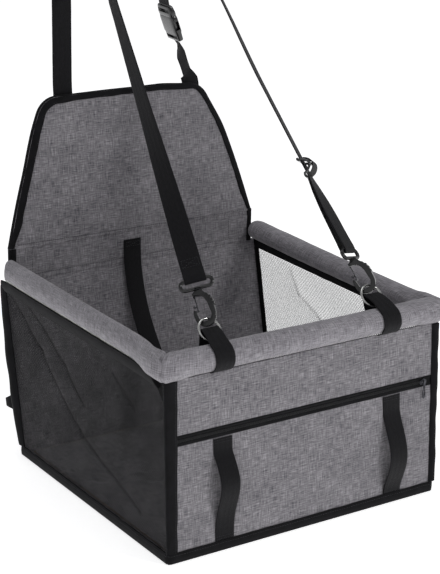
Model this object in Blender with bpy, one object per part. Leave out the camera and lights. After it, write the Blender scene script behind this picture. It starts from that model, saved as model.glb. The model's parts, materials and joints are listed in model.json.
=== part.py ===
"""Pet car basket: a fabric box on a tube rim, with a back flap, hook-on front strap and buckled back strap.

Units are metres, +Z up. The origin is on the underside of the floor, the front faces -Y and the back +Y.
Each named object is one real piece. Cloth and webbing pieces are closed solids of their real thickness.
"""

import bmesh
import bpy
from math import atan2, cos, log, pi, radians, sin, sqrt
from mathutils import Vector

# Space left between pieces that touch
GAP = 0.0003

# Rim: front and side tubes in cloth sleeves, joined by elbows
RIM_HALF_X = 0.186
RIM_FRONT_Y = -0.188
RIM_Z = 0.229
TUBE_R = 0.0100
TUBE_BORE = 0.0080
ELBOW_R = 0.0125
ELBOW_BORE = TUBE_R + GAP
ELBOW_BEND = 0.0145
ELBOW_LEG = 0.020
TUBE_IN_ELBOW = 0.018
SLEEVE_R = 0.0157
SLEEVE_BORE = 0.0143
SIDE_TUBE_END_Y = 0.1690
ROUND_SIDES = 20

# Side sleeve behind its wide front corner, to its closed rear end: (y, radius) outside, and inside
SIDE_SLEEVE = (
    (-0.1680, 0.0157),
    (-0.1560, 0.0133),
    (0.1780, 0.0133),
    (0.1835, 0.0125),
    (0.1862, 0.0110),
    (0.1875, 0.0085),
)
SIDE_SLEEVE_BORE = ((-0.1680, 0.0143), (-0.1560, 0.0128), (0.1775, 0.0128), (0.1838, 0.0107))

# Rear tube, straight and closed in its own channel of cloth behind the flap's fold
REAR_TUBE_Y = 0.2023
REAR_TUBE_Z = 0.2405
REAR_TUBE_HALF_X = 0.1455
CHANNEL_R = 0.0125
CHANNEL_BORE = 0.0110
CHANNEL_HALF_X = 0.1500

# Walls of the box
HALF_X = 0.1868
SIDE_X = 0.1872
MESH_T = 0.0012
WALL_BOTTOM_Z = 0.0034
WALL_TOP_Z = 0.2126
FRONT_TOP_Y = -0.1915
FRONT_BOTTOM_Y = -0.2015
PANEL_T = 0.0020
BACK_TOP_Y = 0.1925
BACK_BOTTOM_Y = 0.1450
BACK_T = 0.0030
FLOOR_T = 0.0030
BOARD_T = 0.0030
BOARD_INSET = 0.010
ZIP_BOTTOM_Z = 0.1368
ZIP_TOP_Z = 0.1492

# Edge bindings
BIND_T = 0.0015
BIND_W = 0.0130
BOTTOM_BIND_Z = (0.0006, 0.0132)
BOTTOM_BIND_REAR = 0.0030
BOTTOM_CORNER_CUT = 0.0026
BOTTOM_INNER_CUT = 0.0008
TOP_BIND_W = 0.0105
TOP_BIND_T = 0.0010
NET_TOP_FRONT = (-0.1660, 0.2110)
NET_TOP_REAR = (-0.1520, 0.2141)

# Back flap, in its own plane: across X, up the flap, and out of its front
FOLD_Y = 0.1925
FOLD_Z = 0.2560
FLAP_LEAN = radians(6.2)
FLAP_BASE_HALF = 0.180
FLAP_TOP_HALF = 0.1165
FLAP_H = 0.1815
FLAP_CORNER_R = 0.028
FLAP_START = 0.0008
FLAP_REAR_F = 0.0002
COVER_T = 0.0015
FLAP_BOARD_T = 0.0020
FLAP_BOARD_INSET = 0.012
FLAP_BIND_W = 0.0130
FLAP_BIND_T = 0.0010
FOLD_STRIP_HALF_X = 0.183
FOLD_STRIP_Y = (0.1880, 0.1895)
FOLD_STRIP_BOTTOM_Z = 0.2132

# Webbing and hardware sizes
WEB_W = 0.0250
WEB_T = 0.0013
RING_R = 0.0132
RING_WIRE = 0.0014
STRAP_MID_X = -0.0035
STRAP_X = 0.115
STRAP_RISE = (0.0989, 0.6646, 0.7408)
RING_S = 0.0327
LOOP_APEX_S = 0.0344
LOOP_PINCH = 0.12
LOOP_FOLD_R = 0.0011
LOOP_LAP = (radians(-107), radians(-80))

# Snap hook: thickness, bowl and swivel, along the strap from the rim tube's axis
HOOK_T = 0.0050
HOOK_NIP = 0.0008
HOOK_BOWL_R = 0.0076
HOOK_BOWL_S = 0.0503
HOOK_BOWL_OUTER = (0.0126, 0.0139)
HOOK_BOWL_SHIFT = 0.0004
HOOK_TOP_S = 0.0795
HOOK_TURN = radians(-45)
EYE_S = 0.0880
EYE_HALF_W = 0.0183
EYE_HALF_H = 0.0053
EYE_WIRE = 0.0022
STEM_R = 0.0036
FOLD_R = EYE_WIRE + GAP + WEB_T / 2

# Snap hook's outline: (across, along) up its back, over the gate's root, down inside the throat, and its tip
HOOK_BACK = ((0.0130, 0.0610), (0.0108, 0.0700), (0.0074, 0.0745), (0.0058, 0.0765), (0.0050, 0.0789))
HOOK_NECK_HALF = 0.0044
HOOK_ROOT = ((-0.0050, 0.0789), (-0.0078, 0.0776))
HOOK_THROAT = ((-0.0076, 0.0752), (-0.0030, 0.0742), (0.0012, 0.0726), (0.0042, 0.0692), (0.0064, 0.0630))
HOOK_TIP = ((-0.0082, 0.0542), (-0.0086, 0.0580), (-0.0108, 0.0588))

# Spring gate with its thumb knob: outline, the axis that it turns on, and half of its width
GATE_OUTLINE = (
    (-0.0052, 0.0740),
    (-0.0050, 0.0560),
    (-0.0083, 0.0560),
    (-0.0083, 0.0600),
    (-0.0106, 0.0610),
    (-0.0108, 0.0638),
    (-0.0080, 0.0650),
    (-0.0078, 0.0735),
    (-0.0074, 0.0746),
)
GATE_AXIS = (-0.0064, 0.0740)
GATE_HALF_T = 0.0013

# Front strap: turn in degrees about its own line, by distance up from the rim tube's axis and over the top
STRAP_TURN_LEFT = ((0.0, 27), (0.105, 27), (0.20, 58), (0.30, 82), (0.44, 98))
STRAP_TURN_RIGHT = ((0.0, 27), (0.147, 27), (0.172, 34), (0.19, 44), (0.34, 44), (0.44, 47))
STRAP_TURN_TOP = (98, 50)
STRAP_END_S = 0.452
STRAP_STEP = 0.017
PLY_LIFT = 0.0008
PLY_MEET = 0.014
FOLD_SEWN_S = 0.026
ADJUSTER_S = 0.205
ADJUSTER_HALF_H = 0.0115
ADJUSTER_HALF_W = 0.0146
ADJUSTER_WIRE = 0.0013
ADJUSTER_PLAY = 0.0006
ADJUSTER_CORNER = 0.0035
TUCK_REACH = 0.0105
TUCK_W = 0.0236
TUCK_LIFT = 0.0002

# Back strap and its side-release buckle
BACK_STRAP_Y = 0.2152
BACK_STRAP_LEFT_X = -0.088
BACK_STRAP_LEFT_Z = (0.455, 0.478)
BACK_STRAP_RIGHT_X = 0.0965
BACK_STRAP_SEWN = 0.148
BACK_STRAP_TOP = 0.002
BUCKLE_LEAN = radians(21)
BUCKLE_TURN = radians(88)
BUCKLE_START = 0.056
BUCKLE_W = 0.0320
BUCKLE_T = 0.0105
SOCKET_L = 0.034
PLUG_L = 0.0135
LOOP_TURN_Z = 0.610
LOOP_LEAN_IN = 0.017
SPLIT_Z = 0.500

# Right strand below the buckle: share of the way up, and turn in degrees
BACK_STRAP_TURN = ((0.14, 30), (0.35, 26), (0.60, 28), (0.80, 48), (0.95, 78))

# Headrest loop above the left strand: height, and turn in degrees
LOOP_TURN = ((LOOP_TURN_Z, 0), (0.595, 30), (0.580, 60), (0.565, 90), (0.532, 90), (SPLIT_Z + GAP, 90))

# Buckle's insides: half width, half thickness, and the two ends along it
CAVITY = (0.0130, 0.0033, 0.0105, 0.036)
WINDOWS = (0.0180, 0.0030, 0.0150, 0.0270)
SOCKET_SLOT = (0.0130, 0.0073, 0.0032, 0.0078)
PLUG_SLOT = (0.0130, 0.0073, 0.0395, 0.0443)
ARMS_X = ((-0.0126, -0.0092), (0.0092, 0.0126), (-0.0020, 0.0020))
ARM_HALF_T = 0.0027
ARM_LOW = 0.0135
ARM_ROOT = 0.002

# Belt loops: middle, share of the height where the bow ends below the sewn top, and share where it is deepest
BELT_LOOPS = {"left": (-0.1125, 0.88, 0.58), "right": (0.1255, 0.85, 0.42)}
BELT_LOOP_Z = (0.0138, 0.1358)
BELT_LOOP_BOW = 0.0150
REAR_TAB_X = 0.1780
REAR_TAB_Z = 0.064
REAR_TAB_W = 0.0240
REAR_TAB_OUT = (0.30, 0.954)
REAR_TAB_PATH = ((0.000, 0.0040), (0.007, 0.0030), (0.0145, 0.0018), (0.0175, 0.0))

# Zip slider and its pull tab
SLIDER_SIZE = (0.0100, 0.0024, 0.0084)
PULL_SIZE = (0.0044, 0.0012, 0.0230)

# Safety lead: (y, z) down the back wall and out to the floor board, then the bar of its hook
LEAD_X = -0.004
LEAD_ROUTE = (
    (0.1859, 0.2433),
    (0.1858, 0.2300),
    (0.1842, 0.2120),
    (0.1780, 0.1850),
    (0.1658, 0.1550),
    (0.1490, 0.1280),
    (0.1310, 0.1060),
    (0.1130, 0.0840),
    (0.0960, 0.0640),
    (0.0780, 0.0450),
    (0.0590, 0.0290),
    (0.0400, 0.0180),
    (0.0210, 0.0126),
    (0.0050, 0.0112),
)
LEAD_BAR = (-0.0090, 0.0106)
LEAD_RETURN_POINTS = 4
LEAD_HOOK_SLOPE = radians(1)


def clear_scene():
    """Removes every object, so that the model starts from nothing."""
    for old in list(bpy.data.objects):
        bpy.data.objects.remove(old, do_unlink=True)


def make_material(name, colour, roughness, metallic=0.0):
    """A plain Principled material in linear colour."""
    material = bpy.data.materials.new(name)
    material.use_nodes = True
    shader = material.node_tree.nodes["Principled BSDF"]
    shader.inputs["Base Color"].default_value = (*colour, 1.0)
    shader.inputs["Roughness"].default_value = roughness
    shader.inputs["Metallic"].default_value = metallic
    material.diffuse_color = (*colour, 1.0)
    return material


def add_piece(name, shape, material, pivot=None, smooth=True):
    """Turns a bmesh in world places into a named object, with its origin on the pivot."""
    bmesh.ops.recalc_face_normals(shape, faces=shape.faces)
    if pivot is not None:
        bmesh.ops.translate(shape, verts=shape.verts, vec=-Vector(pivot))
    mesh = bpy.data.meshes.new(name)
    shape.to_mesh(mesh)
    shape.free()
    if smooth:
        mesh.shade_smooth()
        mesh.set_sharp_from_angle(angle=radians(35))
    mesh.materials.append(material)
    piece = bpy.data.objects.new(name, mesh)
    if pivot is not None:
        piece.location = pivot
    bpy.context.scene.collection.objects.link(piece)
    return piece


def skin(rings, closed=False):
    """A closed solid through rings of points. The ends are capped unless the path is closed."""
    shape = bmesh.new()
    rows = [[shape.verts.new(point) for point in ring] for ring in rings]
    count = len(rows[0])
    pairs = list(zip(rows, rows[1:]))
    if closed:
        pairs.append((rows[-1], rows[0]))
    for low, high in pairs:
        for i in range(count):
            j = (i + 1) % count
            shape.faces.new((low[i], low[j], high[j], high[i]))
    if not closed:
        shape.faces.new(rows[0][::-1])
        shape.faces.new(rows[-1])
    return shape


def pipe(outer, inner):
    """A hollow solid between outer rings and inner rings, open at both ends."""
    rings = list(outer) + list(inner)[::-1]
    return skin(rings, closed=True)


def prism(outline, offset):
    """A flat outline pushed along an offset."""
    start = [Vector(point) for point in outline]
    return skin([start, [point + Vector(offset) for point in start]])


def circle(centre, a, b, radius, sides=ROUND_SIDES):
    """Points round a centre in the plane of two unit directions."""
    angles = [2 * pi * i / sides for i in range(sides)]
    return [Vector(centre) + a * (radius * cos(t)) + b * (radius * sin(t)) for t in angles]


def tube_along(path, radius, sides=8, closed=False):
    """A round bar along a planar or gently curved path of points."""
    points = [Vector(point) for point in path]
    count = len(points)
    rings = []
    side = None
    for i, point in enumerate(points):
        before = points[i - 1] if closed or i else points[0]
        after = points[(i + 1) % count] if closed or i < count - 1 else points[-1]
        along = (after - before).normalized()
        if side is None:
            guide = Vector((0, 0, 1)) if abs(along.z) < 0.9 else Vector((1, 0, 0))
            side = along.cross(guide).normalized()
        side = (side - along * side.dot(along)).normalized()
        rings.append(circle(point, side, along.cross(side), radius, sides))
    return skin(rings, closed)


def ribbon(stations, width=WEB_W, thickness=WEB_T):
    """Flat webbing through stations of (centre, direction across, direction out of its face)."""
    rings = []
    for centre, across, out in stations:
        half_w = across * (width / 2)
        half_t = out * (thickness / 2)
        rings.append(
            [
                centre - half_w - half_t,
                centre + half_w - half_t,
                centre + half_w + half_t,
                centre - half_w + half_t,
            ]
        )
    return skin(rings)


def joined(name, pieces, material, pivot=None):
    """One solid from overlapping shapes, by a Boolean union."""
    base = add_piece(name, pieces[0], material, pivot)
    for number, shape in enumerate(pieces[1:]):
        tool = add_piece(f"{name}_tool_{number}", shape, material)
        tool.hide_render = True
        tool.display_type = "WIRE"
        union = base.modifiers.new(f"union_{number}", "BOOLEAN")
        union.operation = "UNION"
        union.solver = "EXACT"
        union.object = tool
    return base


def cut(piece, shape, material):
    """Cuts a shape out of a piece by a Boolean difference."""
    number = len(piece.modifiers)
    tool = add_piece(f"{piece.name}_cut_{number}", shape, material)
    tool.hide_render = True
    tool.display_type = "WIRE"
    difference = piece.modifiers.new(f"cut_{number}", "BOOLEAN")
    difference.operation = "DIFFERENCE"
    difference.solver = "EXACT"
    difference.object = tool


def box(low, high):
    """A box between two corners."""
    x0, y0, z0 = low
    x1, y1, z1 = high
    return prism([(x0, y0, z0), (x1, y0, z0), (x1, y1, z0), (x0, y1, z0)], (0, 0, z1 - z0))


def local_box(origin, directions, low, high):
    """A box in three unit directions from an origin."""
    a, b, c = directions
    corners = [(low[0], low[1]), (high[0], low[1]), (high[0], high[1]), (low[0], high[1])]
    start = [Vector(origin) + a * u + b * v + c * low[2] for u, v in corners]
    return prism(start, c * (high[2] - low[2]))


def blend_angle(table, s):
    """Reads an angle in degrees from (distance, angle) pairs, even between them. Returns radians."""
    if s <= table[0][0]:
        return radians(table[0][1])
    for (s0, a0), (s1, a1) in zip(table, table[1:]):
        if s <= s1:
            share = (s - s0) / (s1 - s0)
            return radians(a0 + (a1 - a0) * share)
    return radians(table[-1][1])


def front_y(z):
    """Outer face of the front wall at a height."""
    share = z / WALL_TOP_Z
    return FRONT_BOTTOM_Y + (FRONT_TOP_Y - FRONT_BOTTOM_Y) * share


def back_y(z):
    """Rear face of the back wall at a height."""
    share = z / WALL_TOP_Z
    return BACK_BOTTOM_Y + (BACK_TOP_Y - BACK_BOTTOM_Y) * share


def build_rim(plastic, cloth):
    """Tubes, elbows and the sleeves round them."""
    x, y = RIM_HALF_X, RIM_FRONT_Y
    reach = ELBOW_BEND + ELBOW_LEG - TUBE_IN_ELBOW
    up = Vector((0, 0, 1))
    rear_x, rear_y, rear_z = REAR_TUBE_HALF_X, REAR_TUBE_Y, REAR_TUBE_Z
    runs = {
        "front_tube": ((-x + reach, y, RIM_Z), (x - reach, y, RIM_Z)),
        "rear_tube": ((-rear_x, rear_y, rear_z), (rear_x, rear_y, rear_z)),
        "left_tube": ((-x, y + reach, RIM_Z), (-x, SIDE_TUBE_END_Y, RIM_Z)),
        "right_tube": ((x, y + reach, RIM_Z), (x, SIDE_TUBE_END_Y, RIM_Z)),
    }
    for name, places in runs.items():
        ends = [Vector(place) for place in places]
        side = (ends[1] - ends[0]).normalized().cross(up)
        outer = [circle(point, side, up, TUBE_R, 16) for point in ends]
        inner = [circle(point, side, up, TUBE_BORE, 16) for point in ends]
        add_piece(name, pipe(outer, inner), plastic)
    for corner, sx in (("front_left", -1), ("front_right", 1)):
        add_piece(f"corner_elbow_{corner}", elbow(sx, y, -1), plastic)
    build_sleeves(cloth)


def elbow(sx, y, sy):
    """A quarter bend with a straight socket at each end, round one rim corner."""
    centre = Vector((sx * (RIM_HALF_X - ELBOW_BEND), y - sy * ELBOW_BEND, RIM_Z))
    out_x, out_y, up = Vector((sx, 0, 0)), Vector((0, sy, 0)), Vector((0, 0, 1))
    stations = [(centre + out_y * ELBOW_BEND - out_x * ELBOW_LEG, out_y)]
    for step in range(7):
        turn = pi / 2 * step / 6
        side = out_y * cos(turn) + out_x * sin(turn)
        stations.append((centre + side * ELBOW_BEND, side))
    stations.append((centre + out_x * ELBOW_BEND - out_y * ELBOW_LEG, out_x))
    outer = [circle(point, side, up, ELBOW_R, 16) for point, side in stations]
    inner = [circle(point, side, up, ELBOW_BORE, 16) for point, side in stations]
    return pipe(outer, inner)


def mitred(along, inward, centre, shifts, radius):
    """Rings round a sleeve's axis, one at each end, cut on the slant of the rim's front corners."""
    rings = []
    for half in shifts:
        ring = circle(centre, inward, Vector((0, 0, 1)), radius)
        for i, point in enumerate(ring):
            shift = abs(half) - (point - centre).dot(inward) - GAP / 2
            ring[i] = point + along * (shift if half > 0 else -shift)
        rings.append(ring)
    return rings


def build_sleeves(cloth):
    """Front sleeve with mitred ends, side sleeves closed at the rear, and the rear channel."""
    x_dir, y_dir, up = Vector((1, 0, 0)), Vector((0, 1, 0)), Vector((0, 0, 1))
    front = Vector((0, RIM_FRONT_Y, RIM_Z))
    halves = (-RIM_HALF_X, RIM_HALF_X)
    outer = mitred(x_dir, y_dir, front, halves, SLEEVE_R)
    inner = mitred(x_dir, y_dir, front, halves, SLEEVE_BORE)
    add_piece("front_sleeve", pipe(outer, inner), cloth)
    for name, side in (("left_sleeve", -1), ("right_sleeve", 1)):
        inward = x_dir * -side
        axis = Vector((side * RIM_HALF_X, 0, RIM_Z))
        outer = mitred(y_dir, inward, axis, (RIM_FRONT_Y,), SLEEVE_R)
        inner = mitred(y_dir, inward, axis, (RIM_FRONT_Y,), SLEEVE_BORE)
        outer += [circle(axis + y_dir * y, inward, up, radius) for y, radius in SIDE_SLEEVE]
        inner += [circle(axis + y_dir * y, inward, up, radius) for y, radius in SIDE_SLEEVE_BORE]
        add_piece(name, skin(inner[::-1] + outer), cloth)
    ends = [Vector((x, REAR_TUBE_Y, REAR_TUBE_Z)) for x in (-CHANNEL_HALF_X, CHANNEL_HALF_X)]
    outer = [circle(point, y_dir, up, CHANNEL_R) for point in ends]
    inner = [circle(point, y_dir, up, CHANNEL_BORE) for point in ends]
    add_piece("rear_channel", pipe(outer, inner), cloth)


def front_plate(half, z0, z1, depth, thickness):
    """A plate that follows the front wall's slope, its outer face set back by a depth."""
    outline = [
        (-half, front_y(z0) + depth, z0),
        (half, front_y(z0) + depth, z0),
        (half, front_y(z1) + depth, z1),
        (-half, front_y(z1) + depth, z1),
    ]
    return prism(outline, (0, thickness, 0))


def build_walls(cloth, mesh_cloth, board, zip_black):
    """Front, back, sides and floor of the box."""
    low, top = WALL_BOTTOM_Z, WALL_TOP_Z
    lining = PANEL_T + GAP
    add_piece("front_lining", front_plate(HALF_X, low, top, lining, PANEL_T), cloth)
    add_piece("pocket_panel", front_plate(HALF_X, low, ZIP_BOTTOM_Z, 0, PANEL_T), cloth)
    upper = front_plate(HALF_X, ZIP_TOP_Z + GAP, top, 0, PANEL_T)
    add_piece("front_upper_panel", upper, cloth)
    tape = front_plate(HALF_X, ZIP_BOTTOM_Z + GAP, ZIP_TOP_Z, 0, PANEL_T)
    add_piece("zipper_tape", tape, zip_black)
    high = top + GAP
    back = [
        (-HALF_X, back_y(low), low),
        (HALF_X, back_y(low), low),
        (HALF_X, back_y(high), high),
        (-HALF_X, back_y(high), high),
    ]
    add_piece("back_panel", prism(back, (0, -BACK_T, 0)), cloth)
    depth = lining + PANEL_T + GAP
    for name, sign in (("left_mesh", -1), ("right_mesh", 1)):
        x = sign * SIDE_X
        outline = [
            (x, front_y(low) + depth, low),
            (x, back_y(low) - BACK_T - GAP, low),
            (x, back_y(NET_TOP_REAR[1]) - BACK_T - GAP, NET_TOP_REAR[1]),
            (x, *NET_TOP_REAR),
            (x, *NET_TOP_FRONT),
            (x, front_y(NET_TOP_FRONT[1]) + depth, NET_TOP_FRONT[1]),
        ]
        add_piece(name, prism(outline, (-sign * MESH_T, 0, 0)), mesh_cloth)
    front, back = FRONT_BOTTOM_Y + 0.0002, BACK_BOTTOM_Y - 0.0002
    add_piece("floor_panel", box((-HALF_X, front, 0), (HALF_X, back, FLOOR_T)), cloth)
    inset = HALF_X - BOARD_INSET
    board_z = FLOOR_T + GAP
    low_corner = (-inset, front + BOARD_INSET, board_z)
    high_corner = (inset, back - BOARD_INSET, board_z + BOARD_T)
    add_piece("base_board", box(low_corner, high_corner), board)


def build_bindings(black):
    """Binding tape round the bottom, up the four corners and along the tops of the net sides."""
    x = SIDE_X + GAP
    y0, y1 = FRONT_BOTTOM_Y - GAP, BACK_BOTTOM_Y + GAP + BOTTOM_BIND_REAR
    z0, z1 = BOTTOM_BIND_Z
    outer_loop = cut_rectangle(x + BIND_T, y0 - BIND_T, y1 + BIND_T, BOTTOM_CORNER_CUT)
    inner_loop = cut_rectangle(x, y0, y1, BOTTOM_INNER_CUT)
    outer = [[Vector((px, py, z)) for px, py in outer_loop] for z in (z0, z1)]
    inner = [[Vector((px, py, z)) for px, py in inner_loop] for z in (z0, z1)]
    add_piece("bottom_binding", pipe(outer, inner), black, smooth=False)
    for end, wall_y, sy in (("front", front_y, -1), ("rear", back_y, 1)):
        for side, sx in (("left", -1), ("right", 1)):
            rings = [corner_section(sx, sy, wall_y(z), z) for z in (z1 + GAP, WALL_TOP_Z)]
            add_piece(f"{end}_{side}_binding", skin(rings), black, smooth=False)
    build_top_bindings(black)


def cut_rectangle(x, y0, y1, nip):
    """Corners of a rectangle from -x to x and y0 to y1, each cut off by an amount."""
    points = []
    for sx, sy, y in ((-1, -1, y0), (1, -1, y0), (1, 1, y1), (-1, 1, y1)):
        along_x = (sx * (x - nip), y)
        along_y = (sx * x, y - sy * nip)
        points += [along_y, along_x] if sx == sy else [along_x, along_y]
    return points


def corner_section(sx, sy, wall, z):
    """L-shaped section of a corner binding at one height."""
    outer_x, outer_y = SIDE_X + GAP + BIND_T, GAP + BIND_T
    inner_x, inner_y = SIDE_X + GAP, GAP
    points = [
        (outer_x, outer_y),
        (outer_x - BIND_W, outer_y),
        (outer_x - BIND_W, inner_y),
        (inner_x, inner_y),
        (inner_x, outer_y - BIND_W),
        (outer_x, outer_y - BIND_W),
    ]
    return [Vector((sx * px, wall + sy * py, z)) for px, py in points]


def build_top_bindings(black):
    """A folded strip over the top edge of each net side."""
    front_z, rear_z = NET_TOP_FRONT[1], NET_TOP_REAR[1]
    run = [
        (front_y(front_z) + BIND_W, front_z),
        NET_TOP_FRONT,
        NET_TOP_REAR,
        (back_y(rear_z) - BIND_W - TOP_BIND_T * 2, rear_z),
    ]
    thin = TOP_BIND_T
    out_x, in_x = SIDE_X + GAP, SIDE_X - MESH_T - GAP
    section = [
        (out_x + thin, -TOP_BIND_W),
        (out_x + thin, GAP + thin),
        (in_x - thin, GAP + thin),
        (in_x - thin, -TOP_BIND_W),
        (in_x, -TOP_BIND_W),
        (in_x, GAP),
        (out_x, GAP),
        (out_x, -TOP_BIND_W),
    ]
    for side, sign in (("left", -1), ("right", 1)):
        rings = [[Vector((sign * px, y, edge + z)) for px, z in section] for y, edge in run]
        add_piece(f"{side}_top_binding", skin(rings), black, smooth=False)


def flap_point(x, v, f):
    """A place on the flap: across, up its plane from the fold, and out of its front."""
    up = Vector((0, sin(FLAP_LEAN), cos(FLAP_LEAN)))
    out = Vector((0, -cos(FLAP_LEAN), sin(FLAP_LEAN)))
    return Vector((x, FOLD_Y, FOLD_Z)) + up * v + out * f


def flap_edge(inset):
    """The flap's free edge, from the right of its base over the top to the left, drawn in by an inset."""
    lean = atan2(FLAP_BASE_HALF - FLAP_TOP_HALF, FLAP_H)
    radius = FLAP_CORNER_R - inset
    top = FLAP_H - inset
    corner_x = FLAP_TOP_HALF - FLAP_CORNER_R * (1 - sin(lean)) / cos(lean)
    centre = Vector((corner_x, FLAP_H - FLAP_CORNER_R))
    right = [(FLAP_BASE_HALF - inset / cos(lean) - FLAP_START * sin(lean), FLAP_START)]
    for step in range(7):
        turn = lean + (pi / 2 - lean) * step / 6
        right.append((centre.x + radius * cos(turn), centre.y + radius * sin(turn)))
    right.append((0.0, top))
    left = [(-x, v) for x, v in right[-2::-1]]
    return right + left


def build_flap(cloth, board, black):
    """Front and rear covers, the stiffener between them, and the binding round the edge."""
    pivot = (0, FOLD_Y, FOLD_Z)
    out = Vector((0, -cos(FLAP_LEAN), sin(FLAP_LEAN)))
    inset = FLAP_BIND_T + GAP
    layers = (
        ("flap_rear_cover", cloth, inset, COVER_T),
        ("flap_board", board, inset + FLAP_BOARD_INSET, FLAP_BOARD_T),
        ("flap_front_cover", cloth, inset, COVER_T),
    )
    f = FLAP_REAR_F
    for name, material, drawn_in, thickness in layers:
        outline = [flap_point(x, v, f) for x, v in flap_edge(drawn_in)]
        add_piece(name, prism(outline, out * thickness), material, pivot)
        f += thickness + GAP
    low = FLAP_REAR_F - GAP
    section = (
        (0.0, low - FLAP_BIND_T),
        (0.0, f + FLAP_BIND_T),
        (FLAP_BIND_W, f + FLAP_BIND_T),
        (FLAP_BIND_W, f),
        (FLAP_BIND_T, f),
        (FLAP_BIND_T, low),
        (FLAP_BIND_W, low),
        (FLAP_BIND_W, low - FLAP_BIND_T),
    )
    edges = {inset: flap_edge(inset) for inset in (0.0, FLAP_BIND_T, FLAP_BIND_W)}
    count = len(edges[0.0])
    rings = [[flap_point(*edges[inset][i], f) for inset, f in section] for i in range(count)]
    add_piece("flap_binding", skin(rings), black, pivot, smooth=False)
    low_corner = (-FOLD_STRIP_HALF_X, FOLD_STRIP_Y[0], FOLD_STRIP_BOTTOM_Z)
    high_corner = (FOLD_STRIP_HALF_X, FOLD_STRIP_Y[1], FOLD_Z - 2 * GAP)
    strip = box(low_corner, high_corner)
    add_piece("fold_strip", strip, cloth)


def strap_line(side):
    """Origin on the rim tube, and the strap's unit directions: along, inward, and out of the rear."""
    rise_in, rise_back, rise_up = STRAP_RISE
    along = Vector((-side * rise_in, rise_back, rise_up)).normalized()
    inward = Vector((-side, 0, 0))
    inward = (inward - along * inward.dot(along)).normalized()
    rear = Vector((0, along.z, -along.y)).normalized()
    return Vector((STRAP_MID_X + side * STRAP_X, RIM_FRONT_Y, RIM_Z)), along, inward, rear


def strap_axes(side, s):
    """Across and out-of-face directions of the front strap at a distance along one strand."""
    _, along, inward, rear = strap_line(side)
    table = STRAP_TURN_LEFT if side < 0 else STRAP_TURN_RIGHT
    turn = -blend_angle(table, s)
    across = inward * cos(turn) + rear * sin(turn)
    travel = along if side < 0 else -along
    return across, across.cross(travel)


def ply_lift(side, s):
    """Distance of a ply from the strap's line. The right plies close up from the hook's eye to the adjuster."""
    if side < 0:
        return PLY_LIFT
    low, high = EYE_S + EYE_HALF_H, ADJUSTER_S - ADJUSTER_HALF_H
    share = min(max((s - low) / (high - low), 0.0), 1.0)
    return FOLD_R + (PLY_LIFT - FOLD_R) * share


def strand(side, distances, up):
    """Stations of one ply of the front strap."""
    origin, along, _, _ = strap_line(side)
    stations = []
    for s in distances:
        across, _ = strap_axes(side, s)
        out = across.cross(along if up else -along)
        stations.append((origin + along * s + out * ply_lift(side, s), across, out))
    return stations


def eye_fold(side, bar_s):
    """Stations where the webbing turns round the bar of a hook's eye, from going down to going up."""
    origin, along, _, _ = strap_line(side)
    across, _ = strap_axes(side, bar_s)
    return half_turn(origin + along * bar_s, across, -along)


def half_turn(bar, across, down):
    """Stations of webbing that arrives in one direction, turns round a bar and leaves the other way."""
    start = across.cross(down)
    stations = []
    for step in range(7):
        turn = pi * step / 6
        out = start * cos(turn) + down * sin(turn)
        stations.append((bar + out * FOLD_R, across, out))
    return stations


def spread(start, end, step=STRAP_STEP):
    """Even distances from start to end."""
    count = max(1, round(abs(end - start) / step))
    return [start + (end - start) * i / count for i in range(count + 1)]


def build_front_strap(black, steel):
    """One length of webbing from the left hook over the headrest loop to the right hook, with its adjuster."""
    bar_s = EYE_S + EYE_HALF_H
    meet = bar_s + PLY_MEET
    stations = strand(-1, (bar_s + FOLD_SEWN_S, meet), up=False)
    stations += eye_fold(-1, bar_s)
    stations += strand(-1, spread(meet, STRAP_END_S), up=True)
    stations += headrest_turn()
    stations += strand(1, spread(STRAP_END_S, meet), up=False)
    stations += eye_fold(1, bar_s)
    return_end = ADJUSTER_S - ADJUSTER_HALF_H - 2.5 * ADJUSTER_WIRE
    stations += strand(1, spread(meet, return_end), up=True)
    pivot = ring_top()
    add_piece("front_strap", ribbon(stations), black, pivot)
    build_adjuster(black, steel)


def ring_top():
    """Midway between the tops of the two rings, on the line that the front strap swings about."""
    origin, along, _, _ = strap_line(1)
    top = origin + along * (RING_S + RING_R)
    return Vector((STRAP_MID_X, top.y, top.z))


def headrest_turn():
    """Stations of the half turn that joins the two strands."""
    origin, along, inward, rear = strap_line(-1)
    start = origin + along * STRAP_END_S
    radius = (STRAP_MID_X - start.x) / inward.x
    centre = start + inward * radius
    lean = atan2(along.x, sqrt(along.y ** 2 + along.z ** 2))
    sweep = pi - 2 * lean
    first, last = STRAP_TURN_TOP
    stations = []
    for step in range(1, 12):
        phi = sweep * step / 12
        travel = inward * sin(phi) + along * cos(phi)
        to_centre = inward * cos(phi) - along * sin(phi)
        turn = -radians(first + (last - first) * step / 12)
        across = to_centre * cos(turn) + rear * sin(turn)
        out = across.cross(travel)
        stations.append((centre - to_centre * radius + out * PLY_LIFT, across, out))
    return stations


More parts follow.
